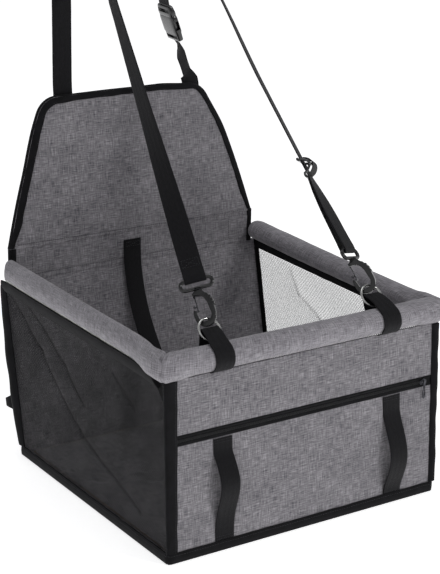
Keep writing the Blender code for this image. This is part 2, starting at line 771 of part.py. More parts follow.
def build_adjuster(black, steel):
    """Three-bar slider on the right strand, and the tuck of webbing sewn round its middle bar."""
    origin, along, _, _ = strap_line(1)
    across, out = strap_axes(1, ADJUSTER_S)
    centre = origin + along * ADJUSTER_S
    ply_front = PLY_LIFT + WEB_T / 2
    ply_back = PLY_LIFT - WEB_T / 2
    mid_f = ply_front + ADJUSTER_PLAY + ADJUSTER_WIRE
    end_f = ply_back - ADJUSTER_PLAY - ADJUSTER_WIRE
    w, h, corner = ADJUSTER_HALF_W, ADJUSTER_HALF_H, ADJUSTER_CORNER
    rail = [(w, -h + corner, 0.25), (w, -h / 2, 0.6), (w, 0, 1.0), (w, h / 2, 0.6), (w, h - corner, 0.25)]
    rail += [(w - corner, h, 0.0), (-w + corner, h, 0.0)]
    frame = rail + [(-u, -v, share) for u, v, share in rail]
    path = [centre + across * u + along * v + out * (end_f + (mid_f - end_f) * share) for u, v, share in frame]
    bar = [centre + across * u + out * mid_f for u in (-w, w)]
    pieces = [tube_along(path, ADJUSTER_WIRE, closed=True), tube_along(bar, ADJUSTER_WIRE * 0.96)]
    joined("strap_adjuster", pieces, steel, centre)
    crown = mid_f + ADJUSTER_WIRE + GAP + WEB_T / 2 + TUCK_LIFT
    foot = ply_front + GAP + WEB_T / 2 + TUCK_LIFT
    stations = []
    for step in range(9):
        share = step / 8 * 2 - 1
        rise = foot + (crown - foot) * cos(share * pi / 2) ** 0.6
        stations.append((centre + along * (TUCK_REACH * share) + out * rise, across, out))
    add_piece("adjuster_tuck", ribbon(stations, width=TUCK_W), black, centre)


def build_rings(steel, black):
    """Rings and the webbing loops that hold them to the front of the rim."""
    for side, name in ((-1, "left"), (1, "right")):
        origin, along, _, _ = strap_line(side)
        across = (Vector((1, 0, 0)) - along * along.x).normalized()
        centre = origin + along * RING_S
        path = circle(centre, across, along, RING_R, 24)
        pivot = origin + along * LOOP_APEX_S
        add_piece(f"ring_{name}", tube_along(path, RING_WIRE, closed=True), steel, pivot)
        add_piece(f"rim_loop_{name}", rim_loop(side), black)


def rim_loop(side):
    """Webbing round the sleeve that rises to a fold through the ring."""
    origin, along, _, _ = strap_line(side)
    radius = SLEEVE_R + GAP + WEB_T / 2
    rise = atan2(along.z, along.y)
    x_dir = Vector((1, 0, 0))
    top = LOOP_APEX_S - LOOP_FOLD_R
    half = pi / 2 - atan2(radius - LOOP_FOLD_R, top)
    start, end = LOOP_LAP
    stations = []

    def add(angle, distance_centre, r):
        out = Vector((0, cos(angle), sin(angle)))
        point = origin + distance_centre + out * r
        stations.append((point, x_dir, out))

    tip = Vector((0, cos(rise), sin(rise))) * top
    zero = Vector((0, 0, 0))
    front_leave = rise + half
    for step in range(10):
        turn = 2 * pi + start + (front_leave - 2 * pi - start) * step / 9
        add(turn, zero, radius)
    for step in range(1, 6):
        add(front_leave - 2 * half * step / 6, tip, LOOP_FOLD_R)
    rear_leave = rise - half
    for step in range(8):
        add(rear_leave + (end - rear_leave) * step / 7, zero, radius)
    apex_x = along.x * LOOP_APEX_S
    sheared = []
    for point, across, out in stations:
        share = max(0.0, ((point - origin).dot(along) - SLEEVE_R) / (LOOP_APEX_S - SLEEVE_R))
        sheared.append((point + x_dir * (apex_x * share), across * (1 - LOOP_PINCH * share), out))
    return ribbon(sheared)


def hook_outline():
    """Outline of the snap hook in its own plane: across from its middle, and along the strap."""
    wide, tall = HOOK_BOWL_OUTER
    outer = []
    for step in range(9):
        turn = pi + pi * step / 8
        outer.append((wide * cos(turn) + HOOK_BOWL_SHIFT, HOOK_BOWL_S + tall * sin(turn)))
    outer += [*HOOK_BACK, (HOOK_NECK_HALF, HOOK_TOP_S), (-HOOK_NECK_HALF, HOOK_TOP_S), *HOOK_ROOT]
    inner = list(HOOK_THROAT)
    for step in range(9):
        turn = -pi * step / 8
        inner.append((HOOK_BOWL_R * cos(turn), HOOK_BOWL_S + HOOK_BOWL_R * sin(turn)))
    return outer + inner + list(HOOK_TIP)


def build_hook(label, origin, along, flat, eye_across, materials, swivels=True):
    """A snap hook: the oval eye for the webbing, the curved body and the spring gate."""
    black, steel = materials
    face = flat.cross(along)

    def place(u, s, n):
        return origin + flat * u + along * s + face * n

    half = HOOK_T / 2
    outline = hook_outline()
    inset = [shrink(outline, i, HOOK_NIP) for i in range(len(outline))]
    rings = [
        [place(u, s, -half) for u, s in inset],
        [place(u, s, -half + HOOK_NIP) for u, s in outline],
        [place(u, s, half - HOOK_NIP) for u, s in outline],
        [place(u, s, half) for u, s in inset],
    ]
    neck = origin + along * HOOK_TOP_S
    body = skin(rings)
    gate = [place(u, s, -GATE_HALF_T) for u, s in GATE_OUTLINE]
    add_piece(f"hook_gate_{label}", prism(gate, face * (2 * GATE_HALF_T)), steel, place(*GATE_AXIS, 0))
    centre = origin + along * EYE_S
    path = []
    for end in (1, -1):
        for step in range(9):
            turn = pi * step / 8 - pi / 2
            u = end * (EYE_HALF_W - EYE_HALF_H + EYE_HALF_H * cos(turn))
            v = end * EYE_HALF_H * sin(turn)
            path.append(centre + eye_across * u + along * v)
    low = origin + along * (HOOK_TOP_S + (GAP if swivels else -0.002))
    high = origin + along * (EYE_S - EYE_HALF_H)
    stem_side = eye_across.cross(along)
    stem = skin([circle(point, eye_across, stem_side, STEM_R, 12) for point in (low, high)])
    eye = [tube_along(path, EYE_WIRE, closed=True), stem]
    if swivels:
        add_piece(f"hook_body_{label}", body, black, neck)
        joined(f"hook_eye_{label}", eye, black, neck)
    else:
        joined(f"hook_body_{label}", [body] + eye, black, neck)


def shrink(outline, index, amount):
    """A corner of an outline moved inwards."""
    before = Vector(outline[index - 1])
    here = Vector(outline[index])
    after = Vector(outline[(index + 1) % len(outline)])
    a = (here - before).normalized()
    b = (after - here).normalized()
    bisector = Vector((-a.y - b.y, a.x + b.x))
    length = max(bisector.length, 0.6)
    return here + bisector.normalized() * amount * min(2 / length, 1.25)


def build_hooks(black, steel):
    """The two hooks on the front strap."""
    for side, label in ((-1, "left"), (1, "right")):
        origin, along, _, rear = strap_line(side)
        across = (Vector((1, 0, 0)) - along * along.x).normalized()
        flat = across * cos(HOOK_TURN) + rear * sin(HOOK_TURN)
        eye_across, _ = strap_axes(side, EYE_S)
        build_hook(label, origin, along, flat, eye_across, (black, steel))


def belt_loop(x, sewn_from, deepest, steps=14):
    """Webbing that bows forward of the front wall between its sewn foot and its flat sewn top."""
    clear = GAP + WEB_T / 2
    z0, z1 = BELT_LOOP_Z
    skew = log(0.5) / log(deepest / sewn_from)
    points = []
    for step in range(steps + 1):
        share = step / steps
        z = z0 + (z1 - z0) * share
        part = min(share / sewn_from, 1.0) ** skew
        bow = BELT_LOOP_BOW * max(sin(pi * part), 0.0) ** 1.5
        points.append(Vector((x, front_y(z) - clear - bow, z)))
    return ribbon(face_out(points, Vector((1, 0, 0))))


def face_out(points, across):
    """Stations of a ribbon through points, with one fixed direction across it."""
    stations = []
    for i, point in enumerate(points):
        before = points[max(i - 1, 0)]
        after = points[min(i + 1, len(points) - 1)]
        along = (after - before).normalized()
        stations.append((point, across, across.cross(along).normalized()))
    return stations


def build_belt_loops(black):
    """Webbing loops on the front for the seat belt, and folded tabs in the rear corners."""
    for name, (x, sewn_from, deepest) in BELT_LOOPS.items():
        add_piece(f"belt_loop_{name}", belt_loop(x, sewn_from, deepest), black)
    for name, side in (("left", -1), ("right", 1)):
        add_piece(f"rear_tab_{name}", rear_tab(side), black)


def rear_tab(side):
    """A short folded tab of webbing that points back from a rear corner."""
    z = REAR_TAB_Z
    up = Vector((0, back_y(z + 1) - back_y(z), 1)).normalized()
    start = Vector((side * REAR_TAB_X, back_y(z) + 3 * GAP + BIND_T + WEB_T, z))
    out = Vector((side * REAR_TAB_OUT[0], REAR_TAB_OUT[1], 0))
    out = (out - up * out.dot(up)).normalized()
    side_dir = up.cross(out)
    path = [*REAR_TAB_PATH, *((a, -b) for a, b in REAR_TAB_PATH[2::-1])]
    points = [start + out * a + side_dir * b for a, b in path]
    return ribbon(face_out(points, up), width=REAR_TAB_W)


def build_back_strap(black):
    """Strap from the flap's top: left strand, right strand, buckle, and the loop for the headrest."""
    pivot = (0, FOLD_Y, FOLD_Z)
    x_dir, y_dir = Vector((1, 0, 0)), Vector((0, 1, 0))
    rear_f = FLAP_REAR_F - 2 * GAP - FLAP_BIND_T - WEB_T / 2
    top_v = FLAP_H + BACK_STRAP_TOP

    def sewn(x):
        return [flap_point(x, v, rear_f) for v in (BACK_STRAP_SEWN, top_v)]

    left = sewn(BACK_STRAP_LEFT_X)
    left += [Vector((BACK_STRAP_LEFT_X, BACK_STRAP_Y, z)) for z in (*BACK_STRAP_LEFT_Z, SPLIT_Z)]
    add_piece("back_strap_left", ribbon(face_out(left, x_dir)), black, pivot)
    start, along, _, _ = buckle_axes()
    right = face_out(sewn(BACK_STRAP_RIGHT_X), x_dir)
    for share, degrees in BACK_STRAP_TURN:
        point = start + along * (BUCKLE_START * share)
        turn = radians(degrees)
        across = (x_dir * cos(turn) + y_dir * sin(turn)).normalized()
        across = (across - along * across.dot(along)).normalized()
        right.append((point, across, across.cross(along)))
    add_piece("back_strap_right", ribbon(right), black, pivot)
    build_buckle(black)
    build_headrest_loop(black)


def buckle_axes():
    """Origin at the flap's top on the right strand, and the buckle's along, width and out directions."""
    start = Vector((BACK_STRAP_RIGHT_X, BACK_STRAP_Y, FOLD_Z + FLAP_H))
    along = Vector((-sin(BUCKLE_LEAN), 0, cos(BUCKLE_LEAN)))
    width = Vector((cos(BUCKLE_TURN), sin(BUCKLE_TURN), 0))
    width = (width - along * width.dot(along)).normalized()
    return start, along, width, width.cross(along)


def build_buckle(black):
    """Socket below with side windows, and the plug with its two sprung arms and guide tongue."""
    start, along, width, out = buckle_axes()
    base = start + along * BUCKLE_START
    axes = (width, out, along)
    half_w, half_t = BUCKLE_W / 2, BUCKLE_T / 2
    socket_body = local_box(base, axes, (-half_w, -half_t, 0), (half_w, half_t, SOCKET_L))
    socket = add_piece("buckle_socket", socket_body, black, base)

    def hollow(size):
        w, t, low, high = size
        return local_box(base, axes, (-w, -t, low), (w, t, high))

    for size in (CAVITY, WINDOWS, SOCKET_SLOT):
        cut(socket, hollow(size), black)
    plug_z = SOCKET_L + GAP
    pieces = [local_box(base, axes, (-half_w, -half_t, plug_z), (half_w, half_t, plug_z + PLUG_L))]
    for low, high in ARMS_X:
        arm = local_box(base, axes, (low, -ARM_HALF_T, ARM_LOW), (high, ARM_HALF_T, plug_z + ARM_ROOT))
        pieces.append(arm)
    plug = joined("buckle_plug", pieces, black, base)
    cut(plug, hollow(PLUG_SLOT), black)


def build_headrest_loop(black):
    """Webbing from the plug up, over and down to the left strand."""
    start, along, width, _ = buckle_axes()
    base = start + along * BUCKLE_START
    x_dir, y_dir = Vector((1, 0, 0)), Vector((0, 1, 0))
    plug_top = base + along * (SOCKET_L + PLUG_L + 5 * GAP)
    right_x = plug_top.x - LOOP_LEAN_IN
    stations = []
    for share in (0.0, 0.25, 0.5, 0.75, 1.0):
        point = plug_top.lerp(Vector((right_x, BACK_STRAP_Y, LOOP_TURN_Z)), share)
        across = (width * (1 - share) + y_dir * share).normalized()
        stations.append((point, across))
    radius = (right_x - BACK_STRAP_LEFT_X) / 2
    centre = Vector((right_x - radius, BACK_STRAP_Y, LOOP_TURN_Z))
    for step in range(1, 12):
        turn = pi * step / 12
        stations.append((centre + Vector((radius * cos(turn), 0, radius * sin(turn))), y_dir))
    for z, turn in LOOP_TURN:
        across = y_dir * cos(radians(turn)) - x_dir * sin(radians(turn))
        stations.append((Vector((BACK_STRAP_LEFT_X, BACK_STRAP_Y, z)), across))
    full = []
    for i, (point, across) in enumerate(stations):
        before = stations[max(i - 1, 0)][0]
        after = stations[min(i + 1, len(stations) - 1)][0]
        travel = (after - before).normalized()
        across = (across - travel * across.dot(travel)).normalized()
        full.append((point, across, across.cross(travel)))
    add_piece("back_strap_loop", ribbon(full), black, base)


def build_zip(steel):
    """Slider on the pocket's zip and its pull tab."""
    z = (ZIP_BOTTOM_Z + ZIP_TOP_Z) / 2
    wide, deep, high = SLIDER_SIZE
    x = SIDE_X - BIND_W - wide / 2 - 2 * GAP
    y = front_y(z) - 2 * GAP
    slider = box((x - wide / 2, y - deep, z - high / 2), (x + wide / 2, y, z + high / 2))
    add_piece("zipper_slider", slider, steel, (x, y, z))
    pull_wide, pull_deep, pull_high = PULL_SIZE
    top = z + 0.0030
    y -= deep + GAP
    pull = box((x - pull_wide / 2, y - pull_deep, top - pull_high), (x + pull_wide / 2, y, top))
    add_piece("zipper_pull", pull, steel, (x, y - pull_deep / 2, top - pull_deep / 2))


def lifted(points, across, lift):
    """Stations of a ribbon through points, moved out of its face by a lift."""
    return [(point + out * lift, side, out) for point, side, out in face_out(points, across)]


def build_lead(black, steel):
    """Safety lead: webbing sewn to the back wall, folded round the eye of a hook that lies on the floor."""
    x_dir = Vector((1, 0, 0))
    points = [Vector((LEAD_X, y, z)) for y, z in LEAD_ROUTE]
    bar = Vector((LEAD_X, *LEAD_BAR))
    along = Vector((0, cos(LEAD_HOOK_SLOPE), sin(LEAD_HOOK_SLOPE)))
    stations = lifted(points, x_dir, PLY_LIFT)
    stations += half_turn(bar, x_dir, -along)
    stations += lifted(points[: -LEAD_RETURN_POINTS - 1 : -1], x_dir, PLY_LIFT)
    add_piece("lead_strap", ribbon(stations), black, points[0])
    origin = bar - along * (EYE_S + EYE_HALF_H)
    build_hook("lead", origin, along, x_dir, x_dir, (black, steel), swivels=False)


def main():
    """Builds every piece of the basket."""
    clear_scene()
    grey = make_material("oxford_cloth", (0.150, 0.145, 0.150), 0.90)
    pale = make_material("sleeve_cloth", (0.230, 0.225, 0.230), 0.90)
    net = make_material("net_cloth", (0.012, 0.012, 0.014), 0.85)
    web = make_material("black_webbing", (0.012, 0.012, 0.014), 0.60)
    tape = make_material("binding_tape", (0.012, 0.012, 0.013), 0.70)
    pvc = make_material("pvc_tube", (0.620, 0.620, 0.600), 0.45)
    board = make_material("fibre_board", (0.210, 0.160, 0.110), 0.80)
    moulded = make_material("acetal_plastic", (0.010, 0.010, 0.011), 0.30)
    chrome = make_material("nickel_plated_steel", (0.620, 0.620, 0.610), 0.18, 1.0)
    build_rim(pvc, pale)
    build_walls(grey, net, board, tape)
    build_bindings(tape)
    build_flap(grey, board, tape)
    build_rings(chrome, web)
    build_hooks(moulded, chrome)
    build_front_strap(web, chrome)
    build_belt_loops(web)
    build_back_strap(web)
    build_zip(chrome)
    build_lead(web, chrome)


main()
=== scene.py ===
"""Dressed scene of the pet car basket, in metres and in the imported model's own frame.

One class makes each sub-assembly: the rim, the box, its bindings, the pocket's zip, the back flap,
the rings and snap hooks, the front strap, the back strap with its buckle, the belt loops and the lead.
Cloth and webbing carry a UV map in millimetres, so that every weave is drawn at a real size.
"""

import json
import logging
from dataclasses import dataclass, field
from enum import Enum
from math import atan2, cos, exp, log, pi, radians, sin, sqrt
from typing import Any, Callable, Iterable, Optional, Sequence

import bmesh
import bpy
from mathutils import Matrix, Vector, noise

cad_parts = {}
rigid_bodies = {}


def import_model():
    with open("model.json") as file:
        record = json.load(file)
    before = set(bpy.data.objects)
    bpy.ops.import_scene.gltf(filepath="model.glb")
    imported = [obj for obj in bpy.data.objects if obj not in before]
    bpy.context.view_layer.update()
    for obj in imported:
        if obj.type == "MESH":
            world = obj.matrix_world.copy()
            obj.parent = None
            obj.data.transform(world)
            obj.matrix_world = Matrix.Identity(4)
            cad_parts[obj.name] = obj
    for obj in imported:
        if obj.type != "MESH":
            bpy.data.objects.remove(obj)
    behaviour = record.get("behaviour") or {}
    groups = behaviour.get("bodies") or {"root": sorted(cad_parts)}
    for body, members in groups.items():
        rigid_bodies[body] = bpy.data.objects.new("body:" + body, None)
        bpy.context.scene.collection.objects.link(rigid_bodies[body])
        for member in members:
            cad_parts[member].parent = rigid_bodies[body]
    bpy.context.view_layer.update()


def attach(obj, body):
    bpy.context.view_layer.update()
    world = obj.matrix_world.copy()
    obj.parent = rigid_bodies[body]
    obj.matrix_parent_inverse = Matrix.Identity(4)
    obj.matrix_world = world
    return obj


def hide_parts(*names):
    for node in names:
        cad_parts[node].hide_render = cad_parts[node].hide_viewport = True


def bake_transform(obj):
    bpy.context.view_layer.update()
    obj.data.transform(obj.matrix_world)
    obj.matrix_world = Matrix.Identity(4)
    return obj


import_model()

LOG = logging.getLogger("pet_car_basket")
MM = 0.001
UV_NAME = "Weave"
Rows = Sequence[Sequence[Vector]]


class Body(str, Enum):
    """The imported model's bodies."""

    BASKET = "basket"
    FLAP = "flap"
    BACK_LOOP = "back_loop"
    RING_LEFT = "ring_left"
    RING_RIGHT = "ring_right"
    FRONT_STRAP = "front_strap"
    HOOK_LEFT = "hook_left"
    HOOK_RIGHT = "hook_right"
    GATE_LEFT = "gate_left"
    GATE_RIGHT = "gate_right"
    ADJUSTER = "adjuster"
    ZIP_SLIDER = "zip_slider"
    ZIP_PULL = "zip_pull"
    LEAD = "lead"
    GATE_LEAD = "gate_lead"


def linear(hex_colour: str) -> tuple[float, float, float, float]:
    """Turns an sRGB hex colour into linear RGBA.

    Args:
        hex_colour: Six hex digits.

    Returns:
        Red, green, blue and alpha from 0 to 1.
    """
    parts = [int(hex_colour[i : i + 2], 16) / 255 for i in (0, 2, 4)]
    values = [c / 12.92 if c <= 0.04045 else ((c + 0.055) / 1.055) ** 2.4 for c in parts]
    return (values[0], values[1], values[2], 1.0)


def put(tree: bpy.types.NodeTree, kind: str, feeds: Optional[dict] = None, **settings: Any) -> bpy.types.Node:
    """Adds one node with its settings, and feeds its inputs.

    Args:
        tree: Node tree of a material or of Geometry Nodes.
        kind: Type of the node.
        feeds: Input names or numbers, with a value or another node's output for each.
        **settings: Properties of the node.

    Returns:
        The new node.
    """
    node = tree.nodes.new(kind)
    for key, value in settings.items():
        setattr(node, key, value)
    for key, value in (feeds or {}).items():
        if isinstance(value, bpy.types.NodeSocket):
            tree.links.new(value, node.inputs[key])
        else:
            node.inputs[key].default_value = value
    return node


def ease(low: float, high: float, value: float) -> float:
    """Smooth step from 0 at low to 1 at high."""
    share = min(1.0, max(0.0, (value - low) / (high - low)))
    return share * share * (3 - 2 * share)


def ripple(place: Sequence[float], size: float, seed: int) -> float:
    """Smooth noise from -1 to 1.

    Args:
        place: A place in metres.
        size: Width of its features in metres.
        seed: Number of the pattern.

    Returns:
        The noise there, the same on every run.
    """
    shift = Vector((seed * 17.31, seed * 5.17, seed * 9.73))
    return noise.noise(Vector(place) / size + shift)


def lengths(points: Sequence[Vector]) -> list[float]:
    """Distance run along a row of points, in metres, at each of them."""
    run = [0.0]
    for before, after in zip(points, points[1:]):
        run.append(run[-1] + (after - before).length)
    return run


def spread(start: float, end: float, step: float) -> list[float]:
    """Even values from start to end, about a step apart."""
    count = max(1, round(abs(end - start) / step))
    return [start + (end - start) * i / count for i in range(count + 1)]


class Skin:
    """A mesh in the making: points, faces and each corner's place on the cloth in millimetres."""

    def __init__(self) -> None:
        """Starts empty."""
        self.points: list[Vector] = []
        self.faces: list[list[int]] = []
        self.corners: list[list[tuple[float, float]]] = []

    def grid(
        self,
        rows: Rows,
        wrap: bool = False,
        loop: bool = False,
        flat: Optional[Callable[[Vector], tuple[float, float]]] = None,
    ) -> int:
        """Adds a surface through rows of points.

        Args:
            rows: Rows of the same number of points.
            wrap: Joins the ends of each row.
            loop: Joins the last row to the first.
            flat: Gives a point's place on the cloth, in metres. Without it the grid is unrolled.

        Returns:
            Number of the first new point.
        """
        base = len(self.points)
        count, width = len(rows), len(rows[0])
        for row in rows:
            self.points.extend(row)
        middle = list(rows[count // 2]) + ([rows[count // 2][0]] if wrap else [])
        column = [row[width // 2] for row in rows] + ([rows[0][width // 2]] if loop else [])
        across, along = lengths(middle), lengths(column)
        for i in range(count if loop else count - 1):
            for j in range(width if wrap else width - 1):
                square = ((i, j), (i, j + 1), (i + 1, j + 1), (i + 1, j))
                ids = [base + (a % count) * width + b % width for a, b in square]
                if flat:
                    places = [flat(self.points[k]) for k in ids]
                else:
                    places = [(across[b], along[a]) for a, b in square]
                self.faces.append(ids)
                self.corners.append([(u / MM, v / MM) for u, v in places])
        return base

    def close(self, ids: Sequence[int]) -> None:
        """Adds one face that closes an opening, given its points in order."""
        self.faces.append(list(ids))
        self.corners.append([(self.points[k].x / MM, self.points[k].z / MM) for k in ids])

    def tube(self, rings: Rows) -> None:
        """Adds a closed solid through rings, with a face at each end."""
        base = self.grid(rings, wrap=True)
        count = len(rings[0])
        self.close(list(range(base, base + count))[::-1])
        last = base + (len(rings) - 1) * count
        self.close(list(range(last, last + count)))

    def sheet(self, outer: Rows, inner: Rows, flat: Optional[Callable] = None) -> None:
        """Adds closed cloth between two grids of the same size, one for each of its faces."""
        first = self.grid(outer, flat=flat)
        second = self.grid(inner, flat=flat)
        rows, cols = len(outer), len(outer[0])
        edge = [(0, j) for j in range(cols)] + [(i, cols - 1) for i in range(1, rows)]
        edge += [(rows - 1, j) for j in range(cols - 2, -1, -1)] + [(i, 0) for i in range(rows - 2, 0, -1)]
        ids = [i * cols + j for i, j in edge]
        for a, b in zip(ids, ids[1:] + ids[:1]):
            self.faces.append([first + a, second + a, second + b, first + b])
            points = [self.points[k] for k in self.faces[-1]]
            run = lengths(points)
            self.corners.append([(r / MM, 0.0) for r in run])

    def mesh(self, name: str, sharp: float = 50.0) -> bpy.types.Mesh:
        """Makes the mesh, with its faces turned outwards and its UV map.

        Args:
            name: Name of the mesh.
            sharp: Angle in degrees past which an edge stays sharp.

        Returns:
            The new mesh.
        """
        shape = bmesh.new()
        points = [shape.verts.new(point) for point in self.points]
        layer = shape.loops.layers.uv.new(UV_NAME)
        for ids, places in zip(self.faces, self.corners):
            face = shape.faces.new([points[k] for k in ids])
            face.smooth = True
            for corner, place in zip(face.loops, places):
                corner[layer].uv = place
        bmesh.ops.recalc_face_normals(shape, faces=shape.faces)
        mesh = bpy.data.meshes.new(name)
        shape.to_mesh(mesh)
        shape.free()
        mesh.set_sharp_from_angle(angle=radians(sharp))
        return mesh


@dataclass(frozen=True)
class Finish:
    """A real surface: its name, and the record's slot that it belongs to."""

    name: str
    slot: str

    def paint(self, tree: bpy.types.NodeTree, shader: bpy.types.Node) -> None:
        """Adds the nodes that make the look."""

    def material(self) -> bpy.types.Material:
        """Gives the material, made the first time that it is asked for."""
        material = bpy.data.materials.get(self.name)
        if material is None:
            material = bpy.data.materials.new(self.name)
            material.use_nodes = True
            self.paint(material.node_tree, material.node_tree.nodes["Principled BSDF"])
        return material


def threads(tree: bpy.types.NodeTree) -> bpy.types.NodeSocket:
    """Gives the piece's own UV map, which counts in millimetres."""
    return put(tree, "ShaderNodeUVMap", uv_map=UV_NAME).outputs["UV"]


def sums(tree: bpy.types.NodeTree, operation: str, *terms: Any) -> bpy.types.NodeSocket:
    """Gives the result of one sum on values or sockets.

    Args:
        tree: Node tree of a material.
        operation: Name of the sum.
        *terms: Its one to three inputs.

    Returns:
        Output with the result.
    """
    return put(tree, "ShaderNodeMath", dict(enumerate(terms)), operation=operation).outputs[0]


def streaks(
    tree: bpy.types.NodeTree, place: bpy.types.NodeSocket, size: tuple[float, float], detail: float
) -> bpy.types.NodeSocket:
    """Gives noise that is drawn out by different lengths along the cloth's two directions.

    Args:
        tree: Node tree of a material.
        place: The place in millimetres.
        size: Length of a feature along U and along V, in millimetres.
        detail: Octaves of the noise.

    Returns:
        Output from 0 to 1.
    """
    scale = (1 / size[0], 1 / size[1], 1.0)
    mapping = put(tree, "ShaderNodeMapping", {"Vector": place, "Scale": scale})
    feeds = {"Vector": mapping.outputs[0], "Scale": 1.0, "Detail": detail, "Roughness": 0.55}
    return put(tree, "ShaderNodeTexNoise", feeds).outputs["Fac"]


def shades(
    tree: bpy.types.NodeTree, factor: bpy.types.NodeSocket, stops: Sequence[tuple[float, str]]
) -> bpy.types.NodeSocket:
    """Gives a colour between stops.

    Args:
        tree: Node tree of a material.
        factor: Place on the ramp.
        stops: Place and sRGB hex colour of each stop, in order.

    Returns:
        Output with the colour.
    """
    ramp = put(tree, "ShaderNodeValToRGB", {"Fac": factor})
    elements = ramp.color_ramp.elements
    while len(elements) < len(stops):
        elements.new(1.0)
    for element, (where, colour) in zip(elements, stops):
        element.position = where
        element.color = linear(colour)
    return ramp.outputs["Color"]


def relief(
    tree: bpy.types.NodeTree,
    shader: bpy.types.Node,
    height: bpy.types.NodeSocket,
    depth: float,
    strength: float,
) -> None:
    """Bumps a surface by a height from 0 to 1 that is a depth in millimetres."""
    feeds = {"Height": height, "Distance": depth * MM, "Strength": strength}
    bump = put(tree, "ShaderNodeBump", feeds)
    tree.links.new(bump.outputs["Normal"], shader.inputs["Normal"])


@dataclass(frozen=True)
class OxfordCloth(Finish):
    """Woven polyester with slub threads, which gives the eye short dark and pale dashes both ways."""

    dark: str = "4C4950"
    low: str = "727074"
    high: str = "858286"
    pale: str = "A5A2A6"
    slub_mm: tuple[float, float] = (13.0, 1.0)
    pick_mm: float = 1.0

    def paint(self, tree: bpy.types.NodeTree, shader: bpy.types.Node) -> None:
        """Mixes weft slubs, warp slubs and a plain weave.

        The real threads are about 0.45 mm apart. They are drawn 1 mm apart, so that the weave shows.
        """
        place = threads(tree)
        long, thin = self.slub_mm
        weft = streaks(tree, place, (long, thin), 2.0)
        warp = streaks(tree, place, (thin, long), 2.0)
        cloud = streaks(tree, place, (60.0, 40.0), 2.0)
        both = sums(tree, "ADD", sums(tree, "MULTIPLY", weft, 0.46), sums(tree, "MULTIPLY", warp, 0.40))
        tone = sums(tree, "ADD", both, sums(tree, "MULTIPLY", cloud, 0.14))
        stops = ((0.38, self.dark), (0.47, self.low), (0.54, self.high), (0.64, self.pale))
        tree.links.new(shades(tree, tone, stops), shader.inputs["Base Color"])
        split = put(tree, "ShaderNodeSeparateXYZ", {"Vector": place})
        turn = pi / self.pick_mm
        weave = sums(
            tree,
            "MULTIPLY",
            sums(tree, "SINE", sums(tree, "MULTIPLY", split.outputs["X"], turn)),
            sums(tree, "SINE", sums(tree, "MULTIPLY", split.outputs["Y"], turn)),
        )
        height = sums(tree, "MULTIPLY_ADD", weave, 0.3, tone)
        relief(tree, shader, height, 0.30, 0.55)
        shader.inputs["Roughness"].default_value = 0.88
        shader.inputs["Sheen Weight"].default_value = 0.20
        shader.inputs["Sheen Roughness"].default_value = 0.55
        shader.inputs["Specular IOR Level"].default_value = 0.25


@dataclass(frozen=True)
class NetCloth(Finish):
    """Warp-knitted polyester net, whose open holes let the far side show through."""

    hole_mm: float = 1.7
    cover: float = -0.50

    def paint(self, tree: bpy.types.NodeTree, shader: bpy.types.Node) -> None:
        """Opens a diagonal grid of round holes in black thread.

        The real holes are about 1 mm apart. They are drawn 1.7 mm apart, so that they show.
        """
        place = threads(tree)
        split = put(tree, "ShaderNodeSeparateXYZ", {"Vector": place})
        turn = 2 * pi / self.hole_mm
        waves = [sums(tree, "COSINE", sums(tree, "MULTIPLY", split.outputs[k], turn)) for k in ("X", "Y")]
        hole = sums(tree, "ADD", waves[0], waves[1])
        # The fold attribute closes holes along folds, and on the left net it also holds painted shade
        fold = put(tree, "ShaderNodeAttribute", attribute_name="fold").outputs["Fac"]
        limit = sums(tree, "ADD", fold, self.cover)
        opening = put(
            tree,
            "ShaderNodeMapRange",
            {
                "Value": sums(tree, "SUBTRACT", hole, limit),
                "From Min": -0.12,
                "From Max": 0.12,
                "To Min": 1.0,
                "To Max": 0.0,
            },
        )
        tree.links.new(opening.outputs["Result"], shader.inputs["Alpha"])
        tone = streaks(tree, place, (30.0, 30.0), 3.0)
        tree.links.new(shades(tree, tone, ((0.3, "020203"), (0.7, "08080A"))), shader.inputs["Base Color"])
        relief(tree, shader, hole, 0.2, 0.4)
        shader.inputs["Roughness"].default_value = 0.72
        shader.inputs["Sheen Weight"].default_value = 0.05
        shader.inputs["Specular IOR Level"].default_value = 0.12


@dataclass(frozen=True)
class Webbing(Finish):
    """Woven polypropylene webbing: a close chevron of ribs with a soft sheen along them, and painted shade
    and highlight that follow the ribs.
    """

    # Painted shade of the grooves between the ribs, and the lit colour of their crests
    groove: str = "050506"
    ridge: str = "100F13"
    rib_mm: float = 1.5
    chevron_mm: float = 6.2

    def paint(self, tree: bpy.types.NodeTree, shader: bpy.types.Node) -> None:
        """Draws ribs that lean one way and then the other across the width, with painted shade in their
        grooves and painted highlight on their crests.
        """
        place = threads(tree)
        split = put(tree, "ShaderNodeSeparateXYZ", {"Vector": place})
        zigzag = sums(tree, "PINGPONG", split.outputs["X"], self.chevron_mm / 2)
        slant = sums(tree, "ADD", split.outputs["Y"], zigzag)
        rib = sums(tree, "SINE", sums(tree, "MULTIPLY", slant, 2 * pi / self.rib_mm))
        yarn = sums(tree, "SINE", sums(tree, "MULTIPLY", split.outputs["X"], 2 * pi / 0.9))
        fuzz = streaks(tree, place, (1.2, 5.0), 2.0)
        tone = sums(tree, "MULTIPLY_ADD", rib, 0.22, sums(tree, "MULTIPLY_ADD", yarn, 0.06, fuzz))
        # Painted shade and highlight: the colour follows the ribs' height, darkest in the grooves and palest
        # on the crests
        stops = ((0.22, self.groove), (0.60, self.ridge), (0.85, "18171B"))
        tree.links.new(shades(tree, tone, stops), shader.inputs["Base Color"])
        relief(tree, shader, tone, 0.35, 0.8)
        shader.inputs["Roughness"].default_value = 0.62
        shader.inputs["Sheen Weight"].default_value = 0.05
        shader.inputs["Specular IOR Level"].default_value = 0.14


